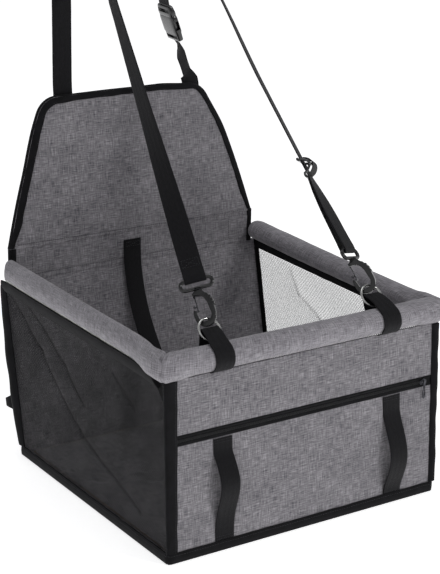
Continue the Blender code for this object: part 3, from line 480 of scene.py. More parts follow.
@dataclass(frozen=True)
class BindingTape(Finish):
    """Woven polyester binding tape: fine ribs straight across it, dull black with a slight fuzz."""

    # Painted shade of the grooves between the ribs, and the lit colour of their crests
    groove: str = "050506"
    ridge: str = "121115"
    rib_mm: float = 1.1

    def paint(self, tree: bpy.types.NodeTree, shader: bpy.types.Node) -> None:
        """Draws ribs across the tape, with painted shade in their grooves. Real ones are 0.6 mm apart, and
        these 1.1 mm, so that they show.
        """
        place = threads(tree)
        split = put(tree, "ShaderNodeSeparateXYZ", {"Vector": place})
        rib = sums(tree, "SINE", sums(tree, "MULTIPLY", split.outputs["Y"], 2 * pi / self.rib_mm))
        wear = streaks(tree, place, (9.0, 14.0), 3.0)
        tone = sums(tree, "MULTIPLY_ADD", rib, 0.15, wear)
        # Painted shade: the colour follows the ribs' height, darker in their grooves
        tree.links.new(
            shades(tree, tone, ((0.30, self.groove), (0.70, self.ridge))), shader.inputs["Base Color"]
        )
        relief(tree, shader, tone, 0.25, 0.7)
        shader.inputs["Roughness"].default_value = 0.78
        shader.inputs["Sheen Weight"].default_value = 0.03
        shader.inputs["Specular IOR Level"].default_value = 0.15


@dataclass(frozen=True)
class Plain(Finish):
    """A surface that is even but for small changes of tone and a fine grain."""

    dark: str = "151517"
    light: str = "1D1D20"
    grain_mm: float = 0.8
    grain_depth_mm: float = 0.03
    roughness: float = 0.35
    metallic: float = 0.0
    coat: float = 0.0
    specular: float = 0.5

    def paint(self, tree: bpy.types.NodeTree, shader: bpy.types.Node) -> None:
        """Draws the tone and the grain from the object's own coordinates."""
        place = put(tree, "ShaderNodeTexCoord").outputs["Object"]
        size = {"Vector": place, "Scale": 1 / (self.grain_mm * 12 * MM), "Detail": 3.0}
        tone = put(tree, "ShaderNodeTexNoise", size).outputs["Fac"]
        tree.links.new(shades(tree, tone, ((0.3, self.dark), (0.7, self.light))), shader.inputs["Base Color"])
        fine = put(
            tree, "ShaderNodeTexNoise", {"Vector": place, "Scale": 1 / (self.grain_mm * MM), "Detail": 2.0}
        )
        relief(tree, shader, fine.outputs["Fac"], self.grain_depth_mm, 0.6)
        spread_map = {"Value": tone, "To Min": self.roughness * 0.85, "To Max": self.roughness * 1.15}
        gloss = put(tree, "ShaderNodeMapRange", spread_map)
        tree.links.new(gloss.outputs["Result"], shader.inputs["Roughness"])
        shader.inputs["Metallic"].default_value = self.metallic
        shader.inputs["Coat Weight"].default_value = self.coat
        shader.inputs["Coat Roughness"].default_value = 0.08
        if not self.metallic:
            shader.inputs["Specular IOR Level"].default_value = self.specular


# Slub oxford of the walls and the flap: mid grey, matt
OXFORD = OxfordCloth("slub oxford polyester", "oxford_cloth")
# The same cloth round the rim, where it is stretched over pipe, in paler colours: painted light for the light
# that falls on the rim's upturned top
SLEEVE_PAINTED_LIGHT = OxfordCloth("slub oxford polyester, rim", "sleeve_cloth", "615E63", "817E83", "939095", "ABA8AC")
# Warp-knitted net of the sides
NET = NetCloth("warp-knitted polyester net", "net_cloth")
# Polypropylene webbing of the straps and loops
WEBBING = Webbing("polypropylene webbing", "webbing")
# Grosgrain that is folded over every raw edge
BINDING = BindingTape("polyester grosgrain binding", "binding_tape")
# Woven tape on both sides of the zip's coil, with painted shade in the grooves of its ribs
ZIP_TAPE = BindingTape("woven zip tape", "binding_tape", "070708", "131316", 0.9)
# Acetal from a polished mould: deep black with clear soft highlights
ACETAL = Plain("moulded acetal", "moulded_plastic", "040405", "09090A", 1.0, 0.02, 0.28, 0.0, 0.35)
# Nickel-plated steel, drawn wire polished after bending: bright, with faint clouding
NICKEL = Plain("nickel-plated steel", "plated_steel", "BDBDBB", "D8D8D4", 0.6, 0.01, 0.13, 1.0)
# Steel wire dipped in black enamel: nearly black with sharp pale glints
ENAMEL = Plain("black enamelled steel", "black_metal", "09090A", "121214", 0.7, 0.02, 0.22, 0.0, 0.5, 0.7)
# Black nickel on the sprung gates: dark, with thin bright lines along its wires
BLACK_NICKEL = Plain("black nickel plating", "plated_steel", "3A3A3D", "58585B", 0.6, 0.01, 0.24, 1.0)
# Die-cast zinc with a dark tarnish, for the zip's slider
GUNMETAL = Plain("tarnished zinc die casting", "black_metal", "2B2B2F", "55555A", 0.5, 0.03, 0.34, 0.85)
# Half sizes of one stitch across, out and along its seam: on webbing, on tape, and where dark lines show
FINE_STITCH = (0.0002, 0.0002, 0.0012)
TAPE_STITCH = (0.00022, 0.00022, 0.0014)
BOLD_STITCH = (0.00034, 0.00030, 0.0013)
# Distance from stitch to stitch: in ordinary seams, and through tape
SEAM_PITCH = 0.0030
TAPE_PITCH = 0.0034
# Spun polyester thread of the seams
BLACK_THREAD = Plain("spun polyester thread, black", "binding_tape", "1B1B1E", "35353A", 0.3, 0.05, 0.65)
# Nylon monofilament coil of the zip
COIL = Plain("nylon zip coil", "binding_tape", "0A0A0B", "141417", 0.4, 0.02, 0.45)
# Extruded rigid PVC pipe inside the sleeves
PIPE = Plain("extruded rigid PVC", "pvc_tube", "C9C9C4", "D6D6D1", 1.2, 0.03, 0.42)
# Pressed fibreboard stiffeners
BOARD = Plain("pressed fibreboard", "fibre_board", "6E5A45", "8B7459", 1.5, 0.12, 0.82)


def dress(
    obj: bpy.types.Object,
    finish: Finish,
    body: Optional[Body],
    nodes: Sequence[str] = (),
) -> bpy.types.Object:
    """Gives a finished piece its material, its body and the CAD nodes that it stands for.

    Args:
        obj: The piece, whose place is in its mesh.
        finish: Its surface.
        body: The body that it rides on, or None where it bends between two.
        nodes: CAD nodes that it replaces.

    Returns:
        The same piece.
    """
    if not obj.data.materials:
        obj.data.materials.append(finish.material())
    if body is not None:
        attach(obj, body.value)
    if nodes:
        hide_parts(*nodes)
    faces = len(obj.data.polygons)
    LOG.info("%s: %d faces, %s", obj.name, faces, finish.name)
    return obj


def new_object(name: str, mesh: bpy.types.Mesh) -> bpy.types.Object:
    """Puts a mesh in the scene as an object at the origin."""
    obj = bpy.data.objects.new(name, mesh)
    bpy.context.scene.collection.objects.link(obj)
    return obj


def squared(value: float, power: float) -> float:
    """Draws a sine or cosine towards its limits, for an outline between a circle and a square."""
    return abs(value) ** power * (1 if value > 0 else -1)


def circle(count: int) -> list[float]:
    """Angles in even steps round one turn."""
    return [2 * pi * k / count for k in range(count)]


def settle(obj: bpy.types.Object) -> None:
    """Turns what an object's modifiers show into its own mesh, and removes them."""
    bpy.context.view_layer.update()
    result = bpy.data.meshes.new_from_object(obj.evaluated_get(bpy.context.evaluated_depsgraph_get()))
    obj.modifiers.clear()
    obj.data = result


def dressed(skin: Skin, name: str, node: str, finish: Finish, body: Body) -> bpy.types.Object:
    """Makes the piece that dresses one solid, from a skin whose mesh has the solid's name."""
    return dress(new_object(name, skin.mesh(node)), finish, body, [node])


class Repeat:
    """Geometry Nodes that lay one small rounded part again and again along paths."""

    INPUTS = (
        ("Pitch", "NodeSocketFloat"),
        ("Half size", "NodeSocketVector"),
        ("Across", "NodeSocketVector"),
        ("Wander", "NodeSocketVector"),
        ("Seed", "NodeSocketInt"),
        ("Material", "NodeSocketMaterial"),
    )

    def __init__(self) -> None:
        """Builds the tree."""
        tree = bpy.data.node_groups.new("repeat along paths", "GeometryNodeTree")
        side = tree.interface
        side.new_socket("Geometry", in_out="INPUT", socket_type="NodeSocketGeometry")
        side.new_socket("Geometry", in_out="OUTPUT", socket_type="NodeSocketGeometry")
        self.ids = {
            name: side.new_socket(name, in_out="INPUT", socket_type=kind).identifier
            for name, kind in self.INPUTS
        }
        given = put(tree, "NodeGroupInput").outputs
        curve = put(tree, "GeometryNodeMeshToCurve", {"Mesh": given["Geometry"]})
        feeds = {"Curve": curve.outputs[0], "Length": given["Pitch"]}
        points = put(tree, "GeometryNodeResampleCurve", feeds, mode="LENGTH")
        tangent = put(tree, "GeometryNodeInputTangent").outputs[0]
        back = put(tree, "ShaderNodeVectorMath", {0: given["Wander"], "Scale": -1.0}, operation="SCALE")
        feeds = {"Min": back.outputs[0], "Max": given["Wander"], "Seed": given["Seed"]}
        stray = put(tree, "FunctionNodeRandomValue", feeds, data_type="FLOAT_VECTOR")
        aim = put(tree, "ShaderNodeVectorMath", {0: tangent, 1: stray.outputs[0]}, operation="ADD")
        along = put(tree, "FunctionNodeAlignRotationToVector", {"Vector": aim.outputs[0]}, axis="Z")
        feeds = {"Rotation": along.outputs[0], "Vector": given["Across"]}
        turned = put(tree, "FunctionNodeAlignRotationToVector", feeds, axis="X", pivot_axis="Z")
        bead = put(tree, "GeometryNodeMeshUVSphere", {"Segments": 6, "Rings": 4, "Radius": 1.0})
        round_bead = put(tree, "GeometryNodeSetShadeSmooth", {"Geometry": bead.outputs[0]})
        feeds = {
            "Points": points.outputs[0],
            "Instance": round_bead.outputs[0],
            "Rotation": turned.outputs[0],
            "Scale": given["Half size"],
        }
        laid = put(tree, "GeometryNodeInstanceOnPoints", feeds)
        real = put(tree, "GeometryNodeRealizeInstances", {"Geometry": laid.outputs[0]})
        feeds = {"Geometry": real.outputs[0], "Material": given["Material"]}
        dyed = put(tree, "GeometryNodeSetMaterial", feeds)
        put(tree, "NodeGroupOutput", {"Geometry": dyed.outputs[0]})
        self.tree = tree

    def lay(
        self,
        name: str,
        paths: Iterable[Sequence[Vector]],
        finish: Finish,
        body: Body,
        pitch: float,
        half_size: tuple[float, float, float],
        across: tuple[float, float, float] = (1.0, 0.0, 0.0),
        wander: float = 0.08,
        seed: int = 1,
    ) -> bpy.types.Object:
        """Makes one piece from all the parts along some paths.

        Args:
            name: Name of the piece.
            paths: Rows of points that the parts follow.
            finish: Its surface.
            body: The body that it rides on.
            pitch: Distance between two parts.
            half_size: Half of a part's size across, out and along the path.
            across: Direction that a part's first size points in.
            wander: How far a part may turn from the path.
            seed: Number of the random pattern.

        Returns:
            The finished piece.
        """
        mesh = bpy.data.meshes.new(name)
        points: list[Vector] = []
        edges: list[tuple[int, int]] = []
        for path in paths:
            start = len(points)
            points.extend(path)
            edges.extend((k, k + 1) for k in range(start, len(points) - 1))
        mesh.from_pydata(points, edges, [])
        obj = new_object(name, mesh)
        nodes = obj.modifiers.new("repeat", "NODES")
        nodes.node_group = self.tree
        values = {
            "Pitch": pitch,
            "Half size": half_size,
            "Across": across,
            "Wander": (wander, wander, wander),
            "Seed": seed,
            "Material": finish.material(),
        }
        for key, value in values.items():
            nodes[self.ids[key]] = value
        settle(obj)
        return dress(obj, finish, body)


@dataclass
class Station:
    """One place along a strap: its middle, the direction across it and the direction out of its face."""

    centre: Vector
    across: Vector
    out: Vector
    width: float = 0.025


def smoothed(stations: Sequence[Station], step: float) -> list[Station]:
    """Adds stations on a smooth curve through the given ones.

    Args:
        stations: Places along a strap.
        step: Largest distance between two new stations.

    Returns:
        The stations with new ones between them.
    """
    centres = [station.centre for station in stations]
    legs = [max((b - a).length, 1e-7) for a, b in zip(centres, centres[1:])]
    slopes = []
    for i in range(len(stations)):
        before = (centres[i] - centres[i - 1]) / legs[i - 1] if i else None
        after = (centres[i + 1] - centres[i]) / legs[i] if i < len(legs) else None
        if before is None or after is None:
            slopes.append(before if after is None else after)
        else:
            slopes.append((before * legs[i] + after * legs[i - 1]) / (legs[i] + legs[i - 1]))
    result = []
    for i, leg in enumerate(legs):
        here, there = stations[i], stations[i + 1]
        count = max(1, round(leg / step))
        for part in range(count):
            t = part / count
            h1, h2 = 2 * t**3 - 3 * t**2 + 1, t**3 - 2 * t**2 + t
            h3, h4 = -2 * t**3 + 3 * t**2, t**3 - t**2
            centre = (
                here.centre * h1 + slopes[i] * (leg * h2) + there.centre * h3 + slopes[i + 1] * (leg * h4)
            )
            across = here.across.lerp(there.across, t).normalized()
            out = here.out.lerp(there.out, t).normalized()
            width = here.width + (there.width - here.width) * t
            result.append(Station(centre, across, out, width))
    result.append(stations[-1])
    return result


def face_out(
    points: Sequence[Vector], across: Vector, lift: float = 0.0, width: float = 0.025
) -> list[Station]:
    """Stations of a strap through points, with one fixed direction across it.

    Args:
        points: Places along the strap.
        across: Direction across it.
        lift: Distance out of its face that it is moved.
        width: Its width.

    Returns:
        One station for each point.
    """
    stations = []
    for i, point in enumerate(points):
        before, after = points[max(i - 1, 0)], points[min(i + 1, len(points) - 1)]
        out = across.cross((after - before).normalized()).normalized()
        stations.append(Station(point + out * lift, across, out, width))
    return stations


def half_turn(bar: Vector, across: Vector, down: Vector, radius: float) -> list[Station]:
    """Stations of a strap that arrives in one direction, turns round a bar and leaves the other way."""
    start = across.cross(down)
    stations = []
    for step in range(13):
        turn = pi * step / 12
        out = start * cos(turn) + down * sin(turn)
        stations.append(Station(bar + out * radius, across, out))
    return stations


@dataclass(frozen=True)
class StrapSection:
    """Cross-section of webbing: flat faces, rounded selvedges, and a slight stray of its edges."""

    thickness: float = 0.0013
    stray: float = 0.00018
    outline: tuple[tuple[float, float], ...] = (
        (-1.0, -0.18),
        (-0.985, -0.42),
        (-0.95, -0.50),
        (-0.6, -0.46),
        (0.0, -0.46),
        (0.6, -0.46),
        (0.95, -0.50),
        (0.985, -0.42),
        (1.0, -0.18),
        (1.0, 0.18),
        (0.985, 0.42),
        (0.95, 0.50),
        (0.6, 0.46),
        (0.0, 0.46),
        (-0.6, 0.46),
        (-0.95, 0.50),
        (-0.985, 0.42),
        (-1.0, 0.18),
    )

    def rings(self, stations: Sequence[Station], seed: int = 0) -> list[list[Vector]]:
        """Gives the ring of points at each station."""
        rings = []
        for station in stations:
            ring = []
            for share, level in self.outline:
                side = 1 if share > 0 else -1
                stray = self.stray * ripple(station.centre, 0.012, seed + side) * abs(share)
                across = station.across * (share * station.width / 2 + side * stray)
                ring.append(station.centre + across + station.out * (level * self.thickness))
            rings.append(ring)
        return rings


SECTION = StrapSection()


def strap_piece(
    name: str,
    stations: Sequence[Station],
    body: Optional[Body],
    nodes: Sequence[str],
    seed: int,
    section: StrapSection = SECTION,
) -> bpy.types.Object:
    """Makes one length of webbing and dresses it.

    Args:
        name: Name of the piece.
        stations: Places along it.
        body: The body that it rides on, or None where it bends between two.
        nodes: CAD nodes that it replaces.
        seed: Number of its random pattern.
        section: Its cross-section.

    Returns:
        The finished piece.
    """
    skin = Skin()
    skin.tube(section.rings(stations, seed))
    return dress(new_object(name, skin.mesh(name)), WEBBING, body, nodes)


@dataclass(frozen=True)
class Plan:
    """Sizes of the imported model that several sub-assemblies share, in metres."""

    gap: float = 0.0003
    rim_half_x: float = 0.186
    rim_front_y: float = -0.188
    rim_z: float = 0.229
    sleeve_r: float = 0.0157
    half_x: float = 0.1868
    side_x: float = 0.1872
    wall_low: float = 0.0034
    wall_top: float = 0.2126
    panel: float = 0.0020
    back_wall: float = 0.0030
    floor: float = 0.0030
    board: float = 0.0030
    front_top_y: float = -0.1915
    front_low_y: float = -0.2015
    back_top_y: float = 0.1925
    back_low_y: float = 0.1450
    zip_low: float = 0.1368
    zip_top: float = 0.1492
    bind_w: float = 0.0130
    bind_t: float = 0.0015
    web_t: float = 0.0013
    eye_wire: float = 0.0022
    ply_lift: float = 0.0008

    def front_y(self, z: float) -> float:
        """Outer face of the front wall at a height."""
        return self.front_low_y + (self.front_top_y - self.front_low_y) * z / self.wall_top

    def back_y(self, z: float) -> float:
        """Rear face of the back wall at a height."""
        return self.back_low_y + (self.back_top_y - self.back_low_y) * z / self.wall_top

    @property
    def fold_radius(self) -> float:
        """Distance from a bar's middle to the middle of webbing folded round it."""
        return self.eye_wire + self.gap + self.web_t / 2


@dataclass
class Assembly:
    """What every sub-assembly has: the shared sizes and the tree that lays stitches."""

    plan: Plan
    repeat: Repeat


@dataclass
class Rim(Assembly):
    """Cloth sleeves round the pipes, gathered at the front corners and closed at the rear."""

    sides: int = 56
    corner_round: float = 0.017
    gather: float = 0.0011
    rolled: float = 0.0026
    drawn_up: float = 0.0013
    side_r: float = 0.0133
    taper: tuple[float, float] = (-0.172, -0.150)
    rear_y: float = 0.1874
    rear_round: float = 0.0160
    rear_cap: float = 0.0070
    channel: tuple[float, float, float] = (0.2023, 0.2405, 0.0125)
    channel_half: float = 0.150
    flat_x: float = 0.190
    flat_share: float = 0.78

    def build(self) -> None:
        """Makes the front, left and right sleeves and the rear channel."""
        pieces = (
            ("front_sleeve", self.front_rings()),
            ("left_sleeve", self.side_rings(-1)),
            ("right_sleeve", self.side_rings(1)),
            ("rear_channel", self.channel_rings()),
        )
        # The sleeves wear the paler copy of the wall cloth, whose colours hold painted light
        for node, rings in pieces:
            skin = Skin()
            skin.tube(rings)
            dress(new_object(f"cloth_{node}", skin.mesh(node, 70)), SLEEVE_PAINTED_LIGHT, Body.BASKET, [node])

    def front_rings(self) -> list[list[Vector]]:
        """Gives rings along the front sleeve, mitred at both ends and closer together there."""
        plan = self.plan
        half = plan.rim_half_x
        rings = []
        for k in range(161):
            share = k / 80 - 1
            share = sin(share * pi / 2) * 0.35 + share * 0.65
            ring = []
            for j in range(self.sides):
                turn = 2 * pi * j / self.sides
                reach = (half - plan.gap / 2) * share
                place = reach - share * plan.sleeve_r * cos(turn)
                corner = half - plan.sleeve_r * cos(turn) - abs(place)
                radius = plan.sleeve_r - 0.0004 + self.slack(turn, place, corner, 3)
                radius -= self.drawn_up * max(-sin(turn), 0.0) * ease(0.015, 0.045, corner)
                if place < 0:
                    radius += 0.0011 * exp(-corner / 0.016)
                x = reach - share * radius * cos(turn)
                y = plan.rim_front_y + radius * cos(turn)
                ring.append(self.drawn_in(self.rounded(Vector((x, y, plan.rim_z + radius * sin(turn))))))
            rings.append(ring)
        return rings

    def side_rings(self, sign: int) -> list[list[Vector]]:
        """Gives rings along one side sleeve, from its mitred front end to its rounded rear end."""
        plan = self.plan
        rings = []
        for k in range(161):
            share = 0.45 * (1 - cos(pi * k / 160)) / 2 + 0.55 * k / 160
            ring = []
            for j in range(self.sides):
                turn = 2 * pi * j / self.sides
                inward = cos(turn)
                rear = self.rear_y - self.rear_round * ((1 - inward) / 2) ** 2.4
                front = plan.rim_front_y + plan.sleeve_r * inward + plan.gap / 2
                y = front + (rear - front) * share
                base = plan.sleeve_r + (self.side_r - plan.sleeve_r) * ease(*self.taper, y)
                radius = base - 0.0003 + self.slack(turn, y, y - front, 5 + sign)
                left = min((rear - y) / self.rear_cap, 1.0)
                radius *= 0.30 + 0.70 * sqrt(max(1 - (1 - left) ** 2, 0.0))
                front = plan.rim_front_y + radius * inward + plan.gap / 2
                y = max(y, front + (rear - front) * share) if share < 0.04 else y
                x, z = self.axis(sign, y)
                point = self.rounded(Vector((x - sign * radius * inward, y, z + radius * sin(turn))))
                ring.append(self.drawn_in(point))
            rings.append(ring)
        return rings

    def axis(self, sign: int, y: float) -> tuple[float, float]:
        """Gives where a side sleeve's middle is: the left one rides up a little, the right one sags."""
        settle = ease(-0.170, -0.125, y)
        if sign < 0:
            return -self.plan.rim_half_x + 0.0013 * settle, self.plan.rim_z + 0.0042 * settle
        sag = sin(pi * min(max((y + 0.17) / 0.35, 0.0), 1.0))
        return self.plan.rim_half_x - 0.0004 * settle, self.plan.rim_z - 0.0006 * settle - 0.0017 * sag

    def channel_rings(self) -> list[list[Vector]]:
        """Gives rings along the rear channel, flattened where it lies on the cloth in front of it."""
        y, z, r = self.channel
        rings = []
        for x in spread(-self.channel_half, self.channel_half, 0.0035):
            ring = []
            for j in range(self.sides):
                turn = 2 * pi * j / self.sides
                radius = r + self.slack(turn, x, 0.2, 8)
                point = Vector((x, y - radius * cos(turn), z + radius * sin(turn)))
                point.y = max(point.y, 0.1897)
                ring.append(point)
            rings.append(ring)
        return rings

    def slack(self, turn: float, place: float, corner: float, seed: int) -> float:
        """Gives how far the cloth stands off its pipe.

        Args:
            turn: Angle round the sleeve, from its inner side over its top.
            place: Distance along it.
            corner: Distance to its mitred end.
            seed: Number of its random pattern.

        Returns:
            Distance to add to the radius.
        """
        around = Vector((cos(turn), sin(turn), 0))
        loose = 0.00045 * ripple(around * 1.2 + Vector((0, 0, place * 14)), 1.0, seed)
        loose += 0.00025 * ripple(around * 2.6 + Vector((0, 0, place * 60)), 1.0, seed + 6)
        wave = sin(turn * 6 + 2.2 * ripple((corner * 40, 0, 0), 1.0, 40))
        gathers = self.gather * exp(-corner / 0.015) * wave
        if seed == 3 and place < 0:
            rolled = max(sin(turn * 4 + 1.4 * ripple((corner * 60, 0, 0), 1.0, 44)), -0.3)
            gathers += self.rolled * exp(-corner / 0.010) * rolled
        creases = 0.0010 * exp(-corner / 0.030) * ripple(around * 1.8 + Vector((0, 0, corner * 55)), 1.0, 21)
        seam = -0.0014 * exp(-((corner / 0.0024) ** 2))
        foot = -0.0008 * exp(-(((turn - 1.5 * pi) / 0.22) ** 2))
        return loose + gathers + creases + seam + foot

    def rounded(self, point: Vector) -> Vector:
        """Rounds the rim's outer front corners in plan."""
        plan = self.plan
        edge_x = plan.rim_half_x + plan.sleeve_r - self.corner_round
        edge_y = plan.rim_front_y - plan.sleeve_r + self.corner_round
        dx, dy = abs(point.x) - edge_x, edge_y - point.y
        if dx <= 0 or dy <= 0:
            return point
        scale = 1 + (max(dx, dy) / sqrt(dx * dx + dy * dy) - 1) * 0.75
        side = 1 if point.x > 0 else -1
        return Vector((side * (edge_x + dx * scale), edge_y - dy * scale, point.z))

    def drawn_in(self, point: Vector) -> Vector:
        """Presses the outer face of the right front corner flat."""
        if point.x < self.flat_x:
            return point
        press = self.flat_share + (1 - self.flat_share) * ease(-0.170, -0.145, point.y)
        return Vector((self.flat_x + (point.x - self.flat_x) * press, point.y, point.z))


@dataclass
class Box(Assembly):
    """Front panels, back wall and floor, in cloth that swells a little between its seams."""

    step: float = 0.0042
    swell: float = 0.0011
    loops: tuple[float, float] = (-0.1125, 0.1255)

    def build(self) -> None:
        """Makes the five cloth panels."""
        plan = self.plan
        lining = plan.panel + plan.gap
        low, top = plan.wall_low, plan.wall_top
        self.front("pocket_panel", low, plan.zip_low, 0.0024, 1)
        self.front("front_upper_panel", plan.zip_top + plan.gap, top + 0.0012, 0.0013, 2)
        self.lining(lining)
        self.back_wall()
        self.floor()

    def rows(
        self, z0: float, z1: float, face: Callable[[float, float], float], half: float
    ) -> list[list[Vector]]:
        """Rows of a wall across X, from one height to another, whose Y a function gives."""
        xs = spread(-half, half, self.step)
        return [[Vector((x, face(x, z), z)) for x in xs] for z in spread(z0, z1, self.step)]

    def front(self, node: str, z0: float, z1: float, bulge: float, seed: int) -> None:
        """Makes one outer panel of the front wall, whose face swells forward between its seams."""
        plan = self.plan

        def swelling(x: float, z: float) -> float:
            edge = min(plan.half_x - abs(x), z - z0, z1 - z)
            rise = ease(0.0, 0.035, edge) * bulge * 0.6
            wander = self.swell * (0.5 + 0.5 * ripple((x, 0, z), 0.055, seed)) * ease(0.0, 0.012, edge)
            held = max(ease(0.0190, 0.0130, abs(x - middle)) for middle in self.loops)
            return (rise + wander) * (1 - 0.85 * held)

        outer = self.rows(z0, z1, lambda x, z: plan.front_y(z) - swelling(x, z), plan.half_x)
        inner = self.rows(z0, z1, lambda x, z: plan.front_y(z) + plan.panel, plan.half_x)
        skin = Skin()
        skin.sheet(outer, inner, flat=lambda p: (p.x, p.z))
        dressed(skin, f"cloth_{node}", node, OXFORD, Body.BASKET)

    def lining(self, depth: float) -> None:
        """Makes the lining on the inside of the front wall."""
        plan = self.plan

        def inside(x: float, z: float) -> float:
            edge = min(plan.half_x - abs(x), z - plan.wall_low, plan.wall_top - z)
            return ease(0.0, 0.03, edge) * 0.0012 * (1 + ripple((x, 0, z), 0.06, 5))

        face = lambda x, z: plan.front_y(z) + depth
        outer = self.rows(plan.wall_low, plan.wall_top, face, plan.half_x)
        inner = self.rows(
            plan.wall_low, plan.wall_top, lambda x, z: face(x, z) + plan.panel + inside(x, z), plan.half_x
        )
        skin = Skin()
        skin.sheet(outer, inner, flat=lambda p: (p.x, p.z))
        dressed(skin, "cloth_front_lining", "front_lining", OXFORD, Body.BASKET)

    def back_wall(self) -> None:
        """Makes the back wall, which swells a little both ways."""
        plan = self.plan
        top = plan.wall_top + plan.gap

        def swelling(x: float, z: float, seed: int) -> float:
            edge = min(plan.half_x - abs(x), z - plan.wall_low, top - z)
            return ease(0.0, 0.03, edge) * 0.0007 * (1 + ripple((x, 0, z), 0.07, seed))

        rear = self.rows(plan.wall_low, top, lambda x, z: plan.back_y(z) + swelling(x, z, 7), plan.half_x)
        front = self.rows(
            plan.wall_low,
            top,
            lambda x, z: plan.back_y(z) - plan.back_wall - swelling(x, z, 8) * 0.35,
            plan.half_x,
        )
        skin = Skin()
        skin.sheet(rear, front, flat=lambda p: (p.x, p.z))
        dressed(skin, "cloth_back_panel", "back_panel", OXFORD, Body.BASKET)

    def floor(self) -> None:
        """Makes the floor, whose upper cloth lies over the stiff board."""
        plan = self.plan
        y0, y1 = plan.front_low_y + 0.0002, plan.back_low_y - 0.0002
        xs = spread(-plan.half_x, plan.half_x, self.step)
        ys = spread(y0, y1, self.step)
        board_top = plan.floor + plan.gap + plan.board + 0.0004

        def height(x: float, y: float) -> float:
            edge = min(plan.half_x - abs(x), y - y0, y1 - y)
            raised = ease(0.0055, 0.0105, edge)
            return plan.floor + (board_top - plan.floor + 0.0003 * (1 + ripple((x, y, 0), 0.06, 11))) * raised

        upper = [[Vector((x, y, height(x, y))) for x in xs] for y in ys]
        lower = [[Vector((x, y, 0.0)) for x in xs] for y in ys]
        skin = Skin()
        skin.sheet(upper, lower, flat=lambda p: (p.x, p.y))
        dress(new_object("cloth_floor", skin.mesh("floor")), OXFORD, Body.BASKET, ["floor_panel"])


@dataclass
class NetSides(Assembly):
    """Stretched net on both sides, with the folds that packing left in it."""

    thickness: float = 0.0005
    step: float = 0.0028
    # Painted shade on the left net: the extra cover of its thread at the bottom, to which more is added
    # towards the top
    painted_shade_cover: float = -0.02
    folds: tuple[tuple[int, float, float, float, float, float], ...] = (
        (-1, 0.178, 0.208, 0.101, 0.152, 0.0034),
        (-1, 0.101, 0.152, 0.008, 0.082, 0.0030),
        (-1, 0.008, 0.082, -0.135, 0.0375, 0.0022),
        (-1, 0.148, 0.215, 0.038, 0.154, 0.0022),
        (-1, 0.038, 0.154, -0.003, 0.120, 0.0018),
        (-1, -0.075, 0.183, -0.121, 0.160, 0.0014),
        (1, 0.076, 0.1695, 0.029, 0.150, 0.0030),
        (1, 0.100, 0.195, 0.076, 0.1695, 0.0016),
        (1, 0.029, 0.150, -0.060, 0.110, 0.0014),
    )

    def build(self) -> None:
        """Makes the left and right nets."""
        plan = self.plan
        depth = 2 * (plan.panel + plan.gap)
        low, top = plan.wall_low, plan.wall_top - 0.0016
        for sign, name in ((-1, "left_mesh"), (1, "right_mesh")):
            rows_out, rows_in = [], []
            for z in spread(low, top, self.step):
                y0, y1 = plan.front_y(z) + depth, plan.back_y(z) - plan.back_wall - plan.gap
                count = round((plan.back_top_y - plan.front_low_y) / self.step)
                ys = [y0 + (y1 - y0) * k / count for k in range(count + 1)]
                drop = [self.dent(y, z, min(y - y0, y1 - y, z - low, top - z), sign) for y in ys]
                face = sign * (plan.side_x - 0.0003)
                rows_out.append([Vector((face - sign * d, y, z)) for y, d in zip(ys, drop)])
                rows_in.append([Vector((face - sign * (d + self.thickness), y, z)) for y, d in zip(ys, drop)])
            skin = Skin()
            skin.sheet(rows_out, rows_in, flat=lambda p: (p.y, p.z))
            obj = new_object(f"net_{name[:-5]}", skin.mesh(name, 80))
            self.mark_folds_and_shade(obj.data, sign)
            dress(obj, NET, Body.BASKET, [name])

    def distance(self, y: float, z: float, fold: Sequence[float], sign: int) -> tuple[float, float]:
        """Distance from a fold's line, and the share along it where that is nearest."""
        side, y0, z0, y1, z1, _ = fold
        if side != sign:
            return 1.0, 0.0
        run_y, run_z = y1 - y0, z1 - z0
        share = ((y - y0) * run_y + (z - z0) * run_z) / (run_y**2 + run_z**2)
        near = min(1.0, max(0.0, share))
        off = sqrt((y - y0 - run_y * near) ** 2 + (z - z0 - run_z * near) ** 2)
        return off, near

    def dent(self, y: float, z: float, edge: float, sign: int) -> float:
        """Depth of the net inside its plane, at a place that is some distance from its sewn edge."""
        free = ease(0.0, 0.030, edge)
        depth = 0.0022 * (0.6 + ripple((0, y, z), 0.075, 30 + sign))
        for fold in self.folds:
            off, _ = self.distance(y, z, fold, sign)
            depth += fold[5] * exp(-off / 0.010)
        return max(0.0, depth) * free

    def mark_folds_and_shade(self, mesh: bpy.types.Mesh, sign: int) -> None:
        """Stores where folds pinch the net's holes closed, and on the left net a painted shade that closes
        more of them.
        """
        marks = mesh.attributes.new("fold", "FLOAT", "POINT")
        for point, mark in zip(mesh.vertices, marks.data):
            y, z = point.co.y, point.co.z
            pinch = sum(0.50 * exp(-self.distance(y, z, fold, sign)[0] / 0.0016) for fold in self.folds)
            mark.value = pinch
            # Painted shade: the left net's thread closes more holes, more towards the top and in soft
            # patches, and its folds show denser, so that the box's inside looks darker through it
            if sign < 0:
                cloud = 0.20 * ripple((0, y, z), 0.028, 91)
                mark.value = pinch * 1.6 + (self.painted_shade_cover + 0.30 * ease(0.02, 0.11, z) + cloud)


